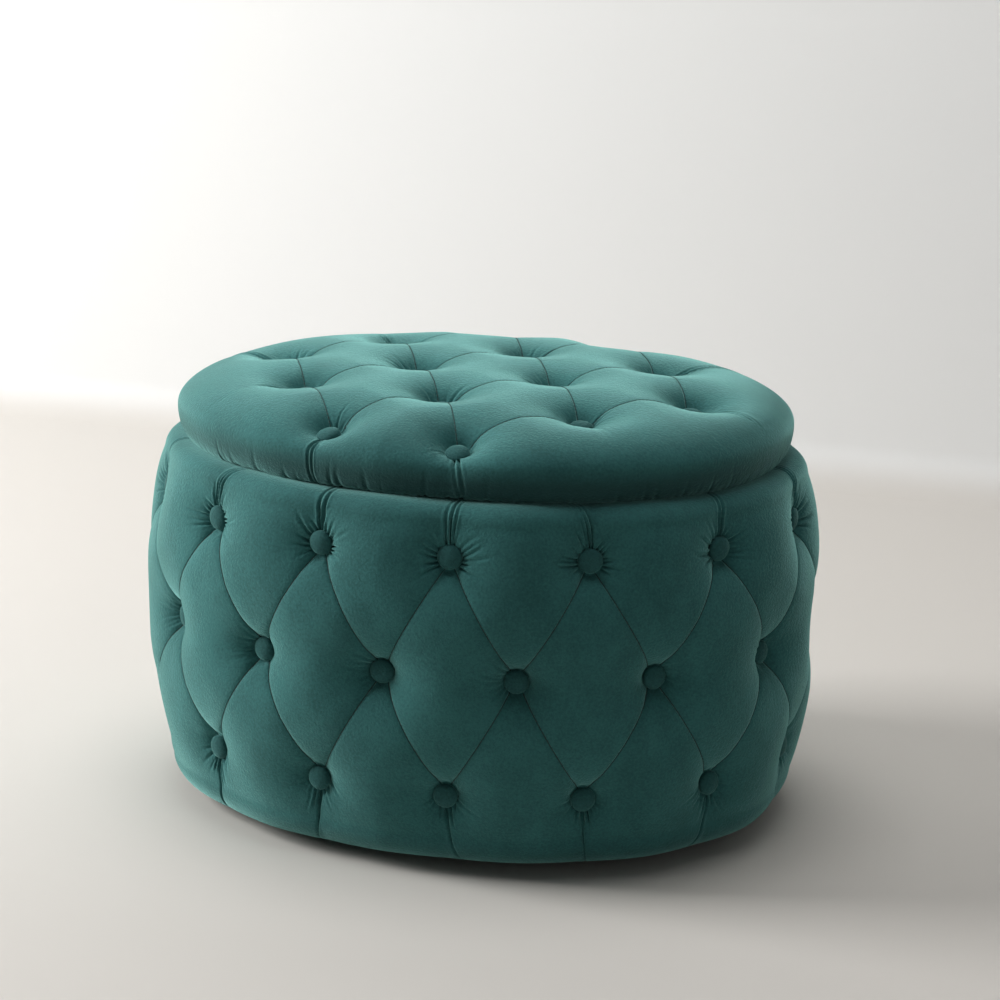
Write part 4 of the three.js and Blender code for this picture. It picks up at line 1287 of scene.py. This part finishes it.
def placed_copies():
    """A copy of a shape on each point, turned as the point says and spun at random about its own axis."""
    inputs = (("Shape", "Object"), ("Spin", "Float"), ("Seed", "Int"), ("Material", "Material"))
    graph, source = node_group("placed_copies", inputs)
    shape = graph.node("GeometryNodeObjectInfo", {"transform_space": "ORIGINAL"}, {
        "Object": source.outputs["Shape"], "As Instance": True})
    turn = graph.node("GeometryNodeInputNamedAttribute", {"data_type": "FLOAT_VECTOR"}, {"Name": "turn"})
    rotation = graph.node("FunctionNodeEulerToRotation", values={0: turn.outputs[0]})
    chance = graph.node("FunctionNodeRandomValue", {"data_type": "FLOAT"}, {
        2: -1.0, 3: 1.0, "Seed": source.outputs["Seed"]})
    angle = Value(graph, chance.outputs[1]) * Value(graph, source.outputs["Spin"])
    spin = graph.node("FunctionNodeAxisAngleToRotation", values={"Axis": (0, 0, 1), "Angle": angle})
    turned = graph.node("FunctionNodeRotateRotation", {"rotation_space": "LOCAL"}, {
        0: rotation.outputs[0], 1: spin.outputs[0]})
    copies = graph.node("GeometryNodeInstanceOnPoints", values={
        "Points": source.outputs["Geometry"],
        "Instance": shape.outputs["Geometry"],
        "Rotation": turned.outputs[0],
    })
    return finish_group(graph, source, copies.outputs[0])


def sewn_line():
    """Stitches one after another along each line of the mesh."""
    inputs = (("Shape", "Object"), ("Pitch", "Float"), ("Thickness", "Float"), ("Length share", "Float"),
              ("Material", "Material"))
    graph, source = node_group("sewn_line", inputs)
    curve = graph.node("GeometryNodeMeshToCurve", values={"Mesh": source.outputs["Geometry"]})
    even = graph.node("GeometryNodeResampleCurve", {"mode": "LENGTH"}, {
        "Curve": curve.outputs[0], "Length": source.outputs["Pitch"]})
    tangent = graph.node("GeometryNodeInputTangent")
    rotation = graph.node("FunctionNodeAlignRotationToVector", {"axis": "X"}, {"Vector": tangent.outputs[0]})
    shape = graph.node("GeometryNodeObjectInfo", {"transform_space": "ORIGINAL"}, {
        "Object": source.outputs["Shape"], "As Instance": True})
    length = Value(graph, source.outputs["Pitch"]) * Value(graph, source.outputs["Length share"])
    size = graph.node("ShaderNodeCombineXYZ", values={
        0: length, 1: source.outputs["Thickness"], 2: source.outputs["Thickness"]})
    copies = graph.node("GeometryNodeInstanceOnPoints", values={
        "Points": even.outputs[0],
        "Instance": shape.outputs["Geometry"],
        "Rotation": rotation.outputs[0],
        "Scale": size.outputs[0],
    })
    return finish_group(graph, source, copies.outputs[0])


def grown(name, carrier, tree, inputs):
    """The plain mesh that a geometry node tree makes from a carrier. The carrier and the copied shape go."""
    modifier = carrier.modifiers.new(name, "NODES")
    modifier.node_group = tree
    sockets = {item.name: item.identifier for item in tree.interface.items_tree if item.in_out == "INPUT"}
    for title, value in inputs.items():
        modifier[sockets[title]] = value
    bpy.context.view_layer.update()
    mesh = bpy.data.meshes.new_from_object(carrier.evaluated_get(bpy.context.evaluated_depsgraph_get()))
    mesh.name = name
    if not mesh.polygons:
        raise RuntimeError(f"{name} came out empty")
    for used in (carrier, inputs["Shape"]):
        bpy.data.objects.remove(used)
    return linked(name, mesh)


def turns(outward, along=None):
    """Euler angles that point Z outward, and X along where that is given."""
    found = []
    for index, way in enumerate(outward):
        z = Vector(way).normalized()
        x = Vector(along[index]) if along is not None else z.orthogonal()
        y = z.cross(x).normalized()
        found.append(axes_matrix(y.cross(z), y, z, Vector()).to_euler())
    return np.array([tuple(turn) for turn in found])


def axes_matrix(x, y, z, place):
    return Matrix([[x[i], y[i], z[i], place[i]] for i in range(3)] + [[0, 0, 0, 1]])


def copies(name, shape, finish, points, angles, spin=0.0):
    """A copy of a shape on each point, turned by its angles, as one piece."""
    mesh = bpy.data.meshes.new(name)
    mesh.from_pydata([tuple(point) for point in points], [], [])
    field = mesh.attributes.new("turn", "FLOAT_VECTOR", "POINT")
    field.data.foreach_set("vector", np.ascontiguousarray(angles, np.float32).ravel())
    inputs = {"Shape": shape, "Spin": spin, "Seed": SEED, "Material": finish}
    return grown(name, linked(name, mesh), placed_copies(), inputs)


def turned_shape(name, section, segments, shaped=None):
    """A solid of revolution about Z, from (radius, height) points that start and end on the axis."""
    ring = np.arange(segments) * 2 * np.pi / segments
    x, y = np.cos(ring), np.sin(ring)
    rings = [np.stack([r * x, r * y, np.full(segments, z)], 1) for r, z in section[1:-1]]
    ends = [[0, 0, section[place][1]] for place in (0, -1)]
    points = np.concatenate([*rings, ends])
    if shaped is not None:
        points = shaped(points)
    return mesh_object(name, points, closed_rings(len(rings), segments))


def nodes_named(start):
    """The CAD nodes whose names begin so, in order."""
    return sorted(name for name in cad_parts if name.startswith(start))


def middles(nodes):
    """For each of these nodes: its box's middle in x and y, its lowest height and its highest."""
    return [((low.x + high.x) / 2, (low.y + high.y) / 2, low.z, high.z) for low, high in map(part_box, nodes)]


def button_finish():
    # Painted shade: the buttons' velvet is painted 0.7 as bright as the rest, with less sheen, for the shade
    # they sit in deep in their dimples.
    return material("button_velvet", velvet_finish, "velvet_teal_buttons", shade=0.7, sheen=0.35)


def button_shape():
    """A covered button: velvet drawn over a dome, puckered where it turns under. It stands on Z = 0."""
    edge, dome, rim = 11.5, 5.5, 2.5
    angles = np.linspace(0, np.pi / 2, 9)
    over = [(edge * math.cos(a), rim + dome * math.sin(a) ** 0.9) for a in angles[1:]]
    section = [(0, 0), (edge * 0.6, 0), (edge * 0.9, 0.25), (edge * 0.985, 1.1), (edge * 1.0, 2.0), *over]

    def puckered(points):
        radius = np.hypot(points[:, 0], points[:, 1])
        angle = np.arctan2(points[:, 1], points[:, 0])
        near_edge = smooth(radius, edge * 0.72, edge) * (points[:, 2] > 0.2)
        fold = 0.16 * np.sin(13 * angle + 0.8 * np.sin(3 * angle)) + 0.07 * np.sin(29 * angle)
        return points * (1 + (near_edge * fold / edge)[:, None] * np.array([1, 1, 0.5]))

    section[-1] = (0, rim + dome)
    shape = turned_shape("button_shape", [(r * MM, z * MM) for r, z in section], 48)
    points = np.empty(len(shape.data.vertices) * 3, np.float32)
    shape.data.vertices.foreach_get("co", points)
    points = puckered(points.reshape(-1, 3) / MM) * MM
    shape.data.vertices.foreach_set("co", points.astype(np.float32).ravel())
    return shape


def tub_buttons():
    """The three rows of the tub's buttons, each seated on the padding at its own slight tilt."""
    draw = np.random.default_rng(SEED + 20)
    for row, name in enumerate(ROW_NAMES):
        columns = (np.arange(COLUMNS) * 2 + row % 2) / 2 + FIRST_COLUMN
        wall, outward = oval_along(HALF_LENGTH - PAD_THICK, HALF_WIDTH - PAD_THICK, columns / COLUMNS)
        flat = wall + outward * (PAD_THICK - BUTTON_SINK - BUTTON_HEIGHT)
        places = np.column_stack([flat, np.full(COLUMNS, ROW_HEIGHTS[row])])
        ways = np.column_stack([outward, np.zeros(COLUMNS)]) + draw.normal(0, 0.05, (COLUMNS, 3))
        shape, finish = button_shape(), button_finish()
        piece = copies(f"tub_buttons_{name}", shape, finish, places, turns(ways), spin=math.pi)
        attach(piece, "tub")
        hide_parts(f"button_row_{name}")


def lid_buttons():
    """The lid's buttons, each leaning a little the way the crown slopes."""
    draw = np.random.default_rng(SEED + 30)
    nodes = nodes_named("lid_button_")
    places, ways = [], []
    for x, y, _, top in middles(nodes):
        lean = 0.65 * float(lid_outline(x, y)) ** 3
        places.append((x, y, top - BUTTON_HEIGHT - 5 * MM + 6 * lean * MM))
        ways.append((lean * x / LID_LENGTH, lean * y / LID_WIDTH, 1.0))
    ways = np.array(ways) + draw.normal(0, 0.04, (len(nodes), 3))
    shape, finish = button_shape(), button_finish()
    piece = copies("lid_buttons", shape, finish, places, turns(ways), spin=math.pi)
    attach(piece, "lid")
    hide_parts(*nodes)


def stitch_shape():
    """A short length of thread along X, one unit long and one thick, with rounded ends."""
    section = [(0, -0.5), (0.34, -0.46), (0.5, -0.3), (0.5, 0.3), (0.34, 0.46), (0, 0.5)]
    shape = turned_shape("stitch_shape", section, 6)
    shape.data.transform(Matrix.Rotation(math.pi / 2, 4, "Y"))
    return shape


def stitched(name, body, lines):
    """Thread along these lines of points, one stitch after another."""
    sizes = settings()
    points = np.concatenate(lines)
    edges, start = [], 0
    for line in lines:
        edges += [(start + i, start + i + 1) for i in range(len(line) - 1)]
        start += len(line)
    mesh = bpy.data.meshes.new(name)
    mesh.from_pydata([tuple(point) for point in points], edges, [])
    inputs = {
        "Shape": stitch_shape(),
        "Pitch": sizes.stitch_pitch,
        "Thickness": sizes.stitch_width,
        "Length share": 0.74,
        "Material": material("thread", thread_finish),
    }
    piece = grown(name, linked(name, mesh), sewn_line(), inputs)
    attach(piece, body)


def seam_line(points, normals, cells, first, row_start, rise):
    """The points of a grid on the diagonal of one square of its lattice, clear of the buttons at its ends."""
    step = np.arange(cells + 1)
    columns = (first + step) % points.shape[1]
    rows = row_start + (step if rise else cells - step)
    line = points[rows, columns] + normals[rows, columns] * 0.15 * MM
    to_end = np.minimum(*(np.linalg.norm(line - line[end], axis=1) for end in (0, -1)))
    return line[to_end > BUTTON_RADIUS + 2 * MM]


def tub_stitches(surface, points):
    normals = grid_normals(points, True)
    first_row = int(np.argmin(np.abs(surface.rows)))
    lines = []
    for column in range(2 * COLUMNS):
        for row in range(2):
            rise = (column + row) % 2 == 0
            start = first_row + row * SIDE_CELLS
            lines.append(seam_line(points, normals, SIDE_CELLS, column * SIDE_CELLS, start, rise))
    stitched("tub_seam_stitches", "tub", lines)


def lid_stitches(surface, points):
    normals = grid_normals(points, False)
    lines = []
    for first, second in surface.seams():
        (column, row), (other, _) = surface.sites[first], surface.sites[second]
        start_row = round((row - surface.rows[0]) * LID_CELLS)
        start_column = round((min(column, other) - surface.columns[0]) * LID_CELLS)
        lines.append(seam_line(points, normals, LID_CELLS, start_column, start_row, other > column))
    stitched("lid_seam_stitches", "lid", lines)


def oval_disc(name, inset, low, high, finish, dressed=None, rings=26, around=256):
    """A thin oval plate with a soft edge. dressed, if given, moves its points."""
    thick = high - low
    angle = np.linspace(0, 2 * np.pi, around + 1)[:-1]

    def ring(half_length, half_width, height):
        return np.column_stack([oval_point(half_length, half_width, angle), np.full(around, height)])

    shares = np.linspace(0, 1, rings)[1:]
    along, across = HALF_LENGTH - inset - thick, HALF_WIDTH - inset - thick
    upper = [ring(along * share, across * share, high) for share in shares]
    lower = [ring(along * share, across * share, low) for share in shares[::-1]]
    edge = [(inset + thick * (1 - math.sin(a)), (low + high) / 2 + thick / 2 * math.cos(a))
            for a in np.linspace(0, math.pi, 7)[1:-1]]
    rim = [ring(HALF_LENGTH - in_by, HALF_WIDTH - in_by, height) for in_by, height in edge]
    grid = np.array([*upper, *rim, *lower])[::-1]
    if dressed is not None:
        grid = dressed(grid)
    points = np.concatenate([grid.reshape(-1, 3), [grid[0].mean(0)], [grid[-1].mean(0)]])
    return mesh_object(name, points, closed_rings(len(grid), around), (finish,))


def line_wall():
    """The lined wall of the well, with the cloth's slight slackness."""
    low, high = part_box("well_liner")
    inset = HALF_LENGTH - high.x
    thick = 2 * MM
    share = np.arange(360) / 360
    wall, outward = oval_along(HALF_LENGTH - inset - thick, HALF_WIDTH - inset - thick, share)
    heights = np.linspace(high.z, low.z, 44)
    around = share[None] * 1.5
    slack = ripples(around, heights[:, None], 0.11, SEED + 40, 0.5 * MM)
    slack = slack + ripples(around, heights[:, None] * 0.25, 0.03, SEED + 41, 0.25 * MM)
    held = smooth(heights, high.z, high.z - 0.03) * smooth(heights, low.z, low.z + 0.02)
    slack *= held[:, None]
    outer = [np.column_stack([wall + outward * thick, np.full(len(share), z)]) for z in (low.z, high.z)]
    inner = [np.column_stack([wall - outward * s[:, None], np.full(len(share), z)])
             for s, z in zip(slack, heights)]
    grid = np.array([*outer, *inner])
    cells = wrapped_cells(len(grid), len(share), True)
    triangles = split_cells(*cells, np.ones(len(cells[0]), bool))
    finish = material("lining", cloth_lining)
    piece = mesh_object("well_lining", grid.reshape(-1, 3), triangles, (finish,))
    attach(piece, "tub")
    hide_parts("well_liner")


def line_floor():
    floor_low, floor_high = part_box("floor_liner")

    def rumpled(points):
        soft = ripples(points[..., 0], points[..., 1], 0.13, SEED + 42, 0.5 * MM)
        points[..., 2] += soft * (points[..., 2] > floor_low.z + 1 * MM)
        return points

    edge = HALF_LENGTH - floor_high.x
    finish = material("lining", cloth_lining)
    floor = oval_disc("well_floor_lining", edge, floor_low.z, floor_high.z, finish, rumpled)
    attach(floor, "tub")
    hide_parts("floor_liner")


def staple_shape():
    """The crown of a wire staple, 10 mm long on X, pressed into the cloth on Z = 0."""
    mesh = bpy.data.meshes.new("staple_shape")
    build = bmesh.new()
    bmesh.ops.create_cube(build, size=1)
    for corner in build.verts:
        corner.co = Vector((corner.co.x * 10, corner.co.y * 1.1, corner.co.z * 0.7 + 0.1)) * MM
    bmesh.ops.bevel(build, geom=build.edges[:], offset=0.2 * MM, segments=2, affect="EDGES")
    build.to_mesh(mesh)
    build.free()
    return linked("staple_shape", mesh)


def staple_ring(name, body, inset, height, count):
    """Staples round an oval line, each lying along it with a little scatter."""
    draw = np.random.default_rng(SEED + count)
    share = (np.arange(count) + draw.uniform(-0.12, 0.12, count)) / count
    points, outward = oval_along(HALF_LENGTH - inset, HALF_WIDTH - inset, share)
    points = points + outward * draw.uniform(-1.2, 1.2, (count, 1)) * MM
    along = np.column_stack([-outward[:, 1], outward[:, 0], np.zeros(count)])
    along = along + draw.normal(0, 0.07, along.shape) * [1, 1, 0]
    ways = np.tile([0, 0, -1.0], (count, 1))
    places = np.column_stack([points, np.full(count, height)])
    finish = material("staple_wire", steel_finish, "staple_wire", (0.62, 0.62, 0.60), 0.3)
    piece = copies(name, staple_shape(), finish, places, turns(ways, along))
    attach(piece, body)


def declare_sheet(inset):
    """Works out the outline of an oval of cloth stapled flat to a board, and leaves it unused."""
    along, across = HALF_LENGTH - inset, HALF_WIDTH - inset
    outline = oval_point(along, across, np.linspace(0, 2 * np.pi, 721))


def lid_underside():
    """The black lining stapled under the lid, over the ends of its velvet."""
    inset = 86 * MM

    def drawn(points):
        angle = np.arctan2(points[..., 1], points[..., 0])
        outline = np.hypot(points[..., 0] / (HALF_LENGTH - inset), points[..., 1] / (HALF_WIDTH - inset))
        pulls = 0.25 * MM * np.cos(angle * 46) * smooth(outline, 0.86, 0.97)
        soft = ripples(points[..., 0], points[..., 1], 0.15, SEED + 50, 0.35 * MM)
        points[..., 2] += (soft * smooth(outline, 1, 0.9) + pulls) * (points[..., 2] < LID_BOTTOM - 0.4 * MM)
        return points

    finish = material("lining", cloth_lining)
    piece = oval_disc("lid_lining", inset, LID_BOTTOM - 0.8 * MM, LID_BOTTOM + 0.3 * MM, finish, drawn)
    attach(piece, "lid")
    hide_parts("lid_liner")
    declare_sheet(inset)
    staple_ring("lid_staples", "lid", inset + 4 * MM, LID_BOTTOM - 0.9 * MM, 46)


def tub_underside():
    inset = 64 * MM
    top = TUB_BOTTOM + 0.1 * MM
    finish = material("lining", cloth_lining)
    piece = oval_disc("dust_cover_cloth", inset, TUB_BOTTOM - 0.7 * MM, top, finish)
    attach(piece, "tub")
    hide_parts("dust_cover")
    declare_sheet(inset)
    staple_ring("base_staples", "tub", inset + 5 * MM, TUB_BOTTOM - 0.8 * MM, 64)


def glide_shape():
    section = [(0, 9.9), (15.4, 9.9), (16, 9.4), (16, 1.6), (15.6, 0.7), (14.8, 0.2), (13.4, 0.0), (6.5, 0.0),
               (5.6, 0.3), (5.2, 1.1), (3.4, 1.2), (3.2, 0.9), (2.4, 0.5), (0, 0.4)]
    return turned_shape("glide_shape", [(r * MM, z * MM) for r, z in section], 40)


def feet():
    nodes = nodes_named("glide_")
    places = [(x, y, 0) for x, y, _, _ in middles(nodes)]
    ways = np.tile([0.0, 0.0, 1.0], (len(nodes), 1))
    finish = material("glide", glide_finish)
    piece = copies("glides", glide_shape(), finish, places, turns(ways))
    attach(piece, "tub")
    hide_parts(*nodes)


def screw_shape():
    """A countersunk cross-head screw that points along Z, its head's face on Z = 0."""
    radii = np.linspace(0, 4, 14)[1:]
    face = [(r, 0.0) for r in radii]
    section = [(0, 0), *face, (1.9, 2.3), (1.9, 22), (0, 24.5)]

    def crossed(points):
        x, y = np.abs(points[:, :2].T) / MM
        arms = [smooth(across, 0.75, 0.45) * smooth(along, 2.5, 1.7) for across, along in ((x, y), (y, x))]
        points[:, 2] += 1.3 * MM * np.maximum(*arms) * (points[:, 2] < 0.1 * MM)
        return points

    return turned_shape("screw_shape", [(r * MM, z * MM) for r, z in section], 48, crossed)


def screws():
    nodes = nodes_named("cleat_screw_")
    places = [place[:3] for place in middles(nodes)]
    ways = np.tile([0.0, 0.0, 1.0], (len(nodes), 1))
    finish = material("screw", steel_finish, "zinc_screw", (0.58, 0.58, 0.55), 0.28)
    piece = copies("cleat_screws", screw_shape(), finish, places, turns(ways), spin=math.pi)
    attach(piece, "lid")
    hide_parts(*nodes)


def finish_frame():
    """Materials for the CAD nodes that stay: boards, posts, panels and cleats."""
    plywood = material("plywood", wood, "plywood_raw", (0.62, 0.44, 0.25), (0.45, 0.29, 0.15))
    cleat = material("cleat_wood", wood, "cleat_beech", (0.60, 0.40, 0.23), (0.42, 0.25, 0.13))
    hardboard = material("hardboard", hardboard_finish)
    for name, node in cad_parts.items():
        if node.hide_render:
            continue
        if name.startswith("wall_panel"):
            dress(node, hardboard)
        elif name.startswith("lid_cleat"):
            dress(node, cleat)
        else:
            dress(node, plywood)


def dress(node, finish):
    node.data.materials.clear()
    node.data.materials.append(finish)


# ---- Stage ----
def add_camera():
    camera = bpy.data.cameras.new("front_camera")
    camera.lens = 98.85
    camera.sensor_width = 36
    piece = linked("front_camera", camera)
    place = Vector((0.7255, -2.490, 0.993))
    turn, pitch, roll = 0.277, 0.2645, -0.023
    ahead = Vector((-math.sin(turn) * math.cos(pitch), math.cos(turn) * math.cos(pitch), -math.sin(pitch)))
    right = Vector((math.cos(turn), math.sin(turn), 0))
    up = right.cross(ahead)
    tilted_right = right * math.cos(roll) - up * math.sin(roll)
    tilted_up = right * math.sin(roll) + up * math.cos(roll)
    piece.matrix_world = axes_matrix(tilted_right, tilted_up, -ahead, place)
    bpy.context.scene.camera = piece


def add_lamp(name, place, aim, size, power, colour):
    lamp = bpy.data.lights.new(name, "AREA")
    lamp.shape = "RECTANGLE"
    lamp.size, lamp.size_y = size
    lamp.energy = power
    lamp.color = colour
    piece = linked(name, lamp)
    piece.location = place
    piece.rotation_euler = (Vector(aim) - Vector(place)).to_track_quat("-Z", "Y").to_euler()


def stage_strip(name, line, half):
    """A strip of the stage's paper, 2 x half wide, along a line of places in y and z."""
    points = np.array([(x, y, z) for y, z in line for x in (-half, half)])
    low = np.arange(len(line) - 1) * 2
    quads = np.stack([low, low + 1, low + 3, low + 2], 1)
    triangles = np.concatenate([quads[:, [0, 1, 2]], quads[:, [0, 2, 3]]])
    mesh_object(name, points, triangles, (material("stage", stage_finish),))


def add_world():
    """A faint sky for the light, which the camera and reflections see as pale as the backdrop."""
    world = bpy.data.worlds.new("studio")
    world.use_nodes = True
    bpy.context.scene.world = world
    graph = Graph(world.node_tree)
    light = graph.node("ShaderNodeBackground", values={"Color": (0.93, 0.96, 1.0), "Strength": 0.03})
    pale = tuple(settings().wall)
    shown = graph.node("ShaderNodeBackground", values={"Color": pale, "Strength": SKY_SHOWN})
    path = graph.node("ShaderNodeLightPath").outputs
    rays = ("Is Camera Ray", "Is Glossy Ray", "Is Transmission Ray")
    camera, glossy, through = (Value(graph, path[ray]) for ray in rays)
    seen = (camera + glossy + through).math("MINIMUM", 1.0)
    sky = graph.node("ShaderNodeMixShader", values={0: seen, 1: light.outputs[0], 2: shown.outputs[0]})
    graph.node("ShaderNodeOutputWorld", values={"Surface": sky.outputs[0]})


def add_stage():
    bpy.context.scene.view_settings.view_transform = "Standard"
    half, back, rise, sweep = 8.0, 1.3, 5.0, 0.06
    bend = np.linspace(0, math.pi / 2, 9)
    line = [(back - sweep + sweep * math.sin(a), sweep - sweep * math.cos(a)) for a in bend]
    stage_strip("floor", [(-half, 0.0), (half, 0.0)], half)
    stage_strip("backdrop", line + [(back, rise)], half)
    add_world()
    add_lamp("window", (-3.0, -0.55, 1.6), (0, 0, 0.2), (1.2, 1.6), 124, (1.0, 1.0, 1.0))
    add_lamp("ceiling", (0.0, 0.0, 3.2), (0, 0, 0.2), (1.8, 1.8), 38, (1.0, 1.0, 1.0))
    add_lamp("room", (2.6, -2.0, 1.0), (0.1, 0, 0.2), (1.6, 1.6), 3.5, (1.0, 1.0, 1.0))


def upholster_tub():
    piece, surface, points = tub_padding()
    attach(piece, "tub")
    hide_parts("tub_cover", "tub_foam")
    tub_stitches(surface, points)


def upholster_lid():
    piece, surface, points = lid_padding()
    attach(piece, "lid")
    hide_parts("lid_cover", "lid_foam")
    lid_stitches(surface, points)


# ---- Operators ----
OPERATORS = []


def operator(made):
    """Puts a class on the list of the ottoman's operators, in the order they run."""
    OPERATORS.append(made)
    return made


@operator
class OTTOMAN_OT_camera(bpy.types.Operator):
    """Stand the camera in front of the ottoman, a little above it"""

    bl_idname = "ottoman.camera"
    bl_label = "Camera"
    bl_options = {"REGISTER", "UNDO"}

    def execute(self, context):
        add_camera()
        return {"FINISHED"}


@operator
class OTTOMAN_OT_tub_padding(bpy.types.Operator):
    """Pad the tub, draw its velvet in at the buttons and sew its seams"""

    bl_idname = "ottoman.tub_padding"
    bl_label = "Tub padding"
    bl_options = {"REGISTER", "UNDO"}

    def execute(self, context):
        upholster_tub()
        return {"FINISHED"}


@operator
class OTTOMAN_OT_tub_buttons(bpy.types.Operator):
    """Set the three rows of covered buttons round the tub"""

    bl_idname = "ottoman.tub_buttons"
    bl_label = "Tub buttons"
    bl_options = {"REGISTER", "UNDO"}

    def execute(self, context):
        tub_buttons()
        return {"FINISHED"}


@operator
class OTTOMAN_OT_lid_padding(bpy.types.Operator):
    """Pad the lid, draw its velvet in at the buttons and sew its seams"""

    bl_idname = "ottoman.lid_padding"
    bl_label = "Lid padding"
    bl_options = {"REGISTER", "UNDO"}

    def execute(self, context):
        upholster_lid()
        return {"FINISHED"}


@operator
class OTTOMAN_OT_lid_buttons(bpy.types.Operator):
    """Set the covered buttons on the lid"""

    bl_idname = "ottoman.lid_buttons"
    bl_label = "Lid buttons"
    bl_options = {"REGISTER", "UNDO"}

    def execute(self, context):
        lid_buttons()
        return {"FINISHED"}


@operator
class OTTOMAN_OT_well_lining(bpy.types.Operator):
    """Line the wall and the floor of the well"""

    bl_idname = "ottoman.well_lining"
    bl_label = "Well lining"
    bl_options = {"REGISTER", "UNDO"}

    def execute(self, context):
        line_wall()
        line_floor()
        return {"FINISHED"}


@operator
class OTTOMAN_OT_lid_lining(bpy.types.Operator):
    """Staple the lining under the lid"""

    bl_idname = "ottoman.lid_lining"
    bl_label = "Lid lining"
    bl_options = {"REGISTER", "UNDO"}

    def execute(self, context):
        lid_underside()
        return {"FINISHED"}


@operator
class OTTOMAN_OT_dust_cover(bpy.types.Operator):
    """Staple the dust cover under the base"""

    bl_idname = "ottoman.dust_cover"
    bl_label = "Dust cover"
    bl_options = {"REGISTER", "UNDO"}

    def execute(self, context):
        tub_underside()
        return {"FINISHED"}


@operator
class OTTOMAN_OT_glides(bpy.types.Operator):
    """Nail the plastic glides under the base"""

    bl_idname = "ottoman.glides"
    bl_label = "Glides"
    bl_options = {"REGISTER", "UNDO"}

    def execute(self, context):
        feet()
        return {"FINISHED"}


@operator
class OTTOMAN_OT_screws(bpy.types.Operator):
    """Drive the screws that hold the lid's cleats"""

    bl_idname = "ottoman.screws"
    bl_label = "Cleat screws"
    bl_options = {"REGISTER", "UNDO"}

    def execute(self, context):
        screws()
        return {"FINISHED"}


@operator
class OTTOMAN_OT_frame(bpy.types.Operator):
    """Give the frame's boards, posts, wall panels and cleats their materials"""

    bl_idname = "ottoman.frame"
    bl_label = "Frame materials"
    bl_options = {"REGISTER", "UNDO"}

    def execute(self, context):
        finish_frame()
        return {"FINISHED"}


@operator
class OTTOMAN_OT_stage(bpy.types.Operator):
    """Lay the floor and backdrop and hang the lamps"""

    bl_idname = "ottoman.stage"
    bl_label = "Stage"
    bl_options = {"REGISTER", "UNDO"}

    def execute(self, context):
        add_stage()
        return {"FINISHED"}


class OTTOMAN_PT_panel(bpy.types.Panel):
    """The ottoman's settings and the operators that make its pieces"""

    bl_idname = "OTTOMAN_PT_panel"
    bl_label = "Storage ottoman"
    bl_space_type = "VIEW_3D"
    bl_region_type = "UI"
    bl_category = "Ottoman"

    def draw(self, context):
        sizes = self.layout.column()
        for name in OttomanSettings.__annotations__:
            sizes.prop(context.scene.ottoman, name)
        steps = self.layout.column(align=True)
        for one in OPERATORS:
            steps.operator(one.bl_idname)


def register():
    for one in (OttomanSettings, *OPERATORS, OTTOMAN_PT_panel):
        bpy.utils.register_class(one)
    bpy.types.Scene.ottoman = bpy.props.PointerProperty(type=OttomanSettings)


def unregister():
    del bpy.types.Scene.ottoman
    for one in (OTTOMAN_PT_panel, *reversed(OPERATORS), OttomanSettings):
        bpy.utils.unregister_class(one)


def main():
    register()
    for one in OPERATORS:
        getattr(bpy.ops.ottoman, one.bl_idname.split(".")[1])()


if __name__ == "__main__":
    main()
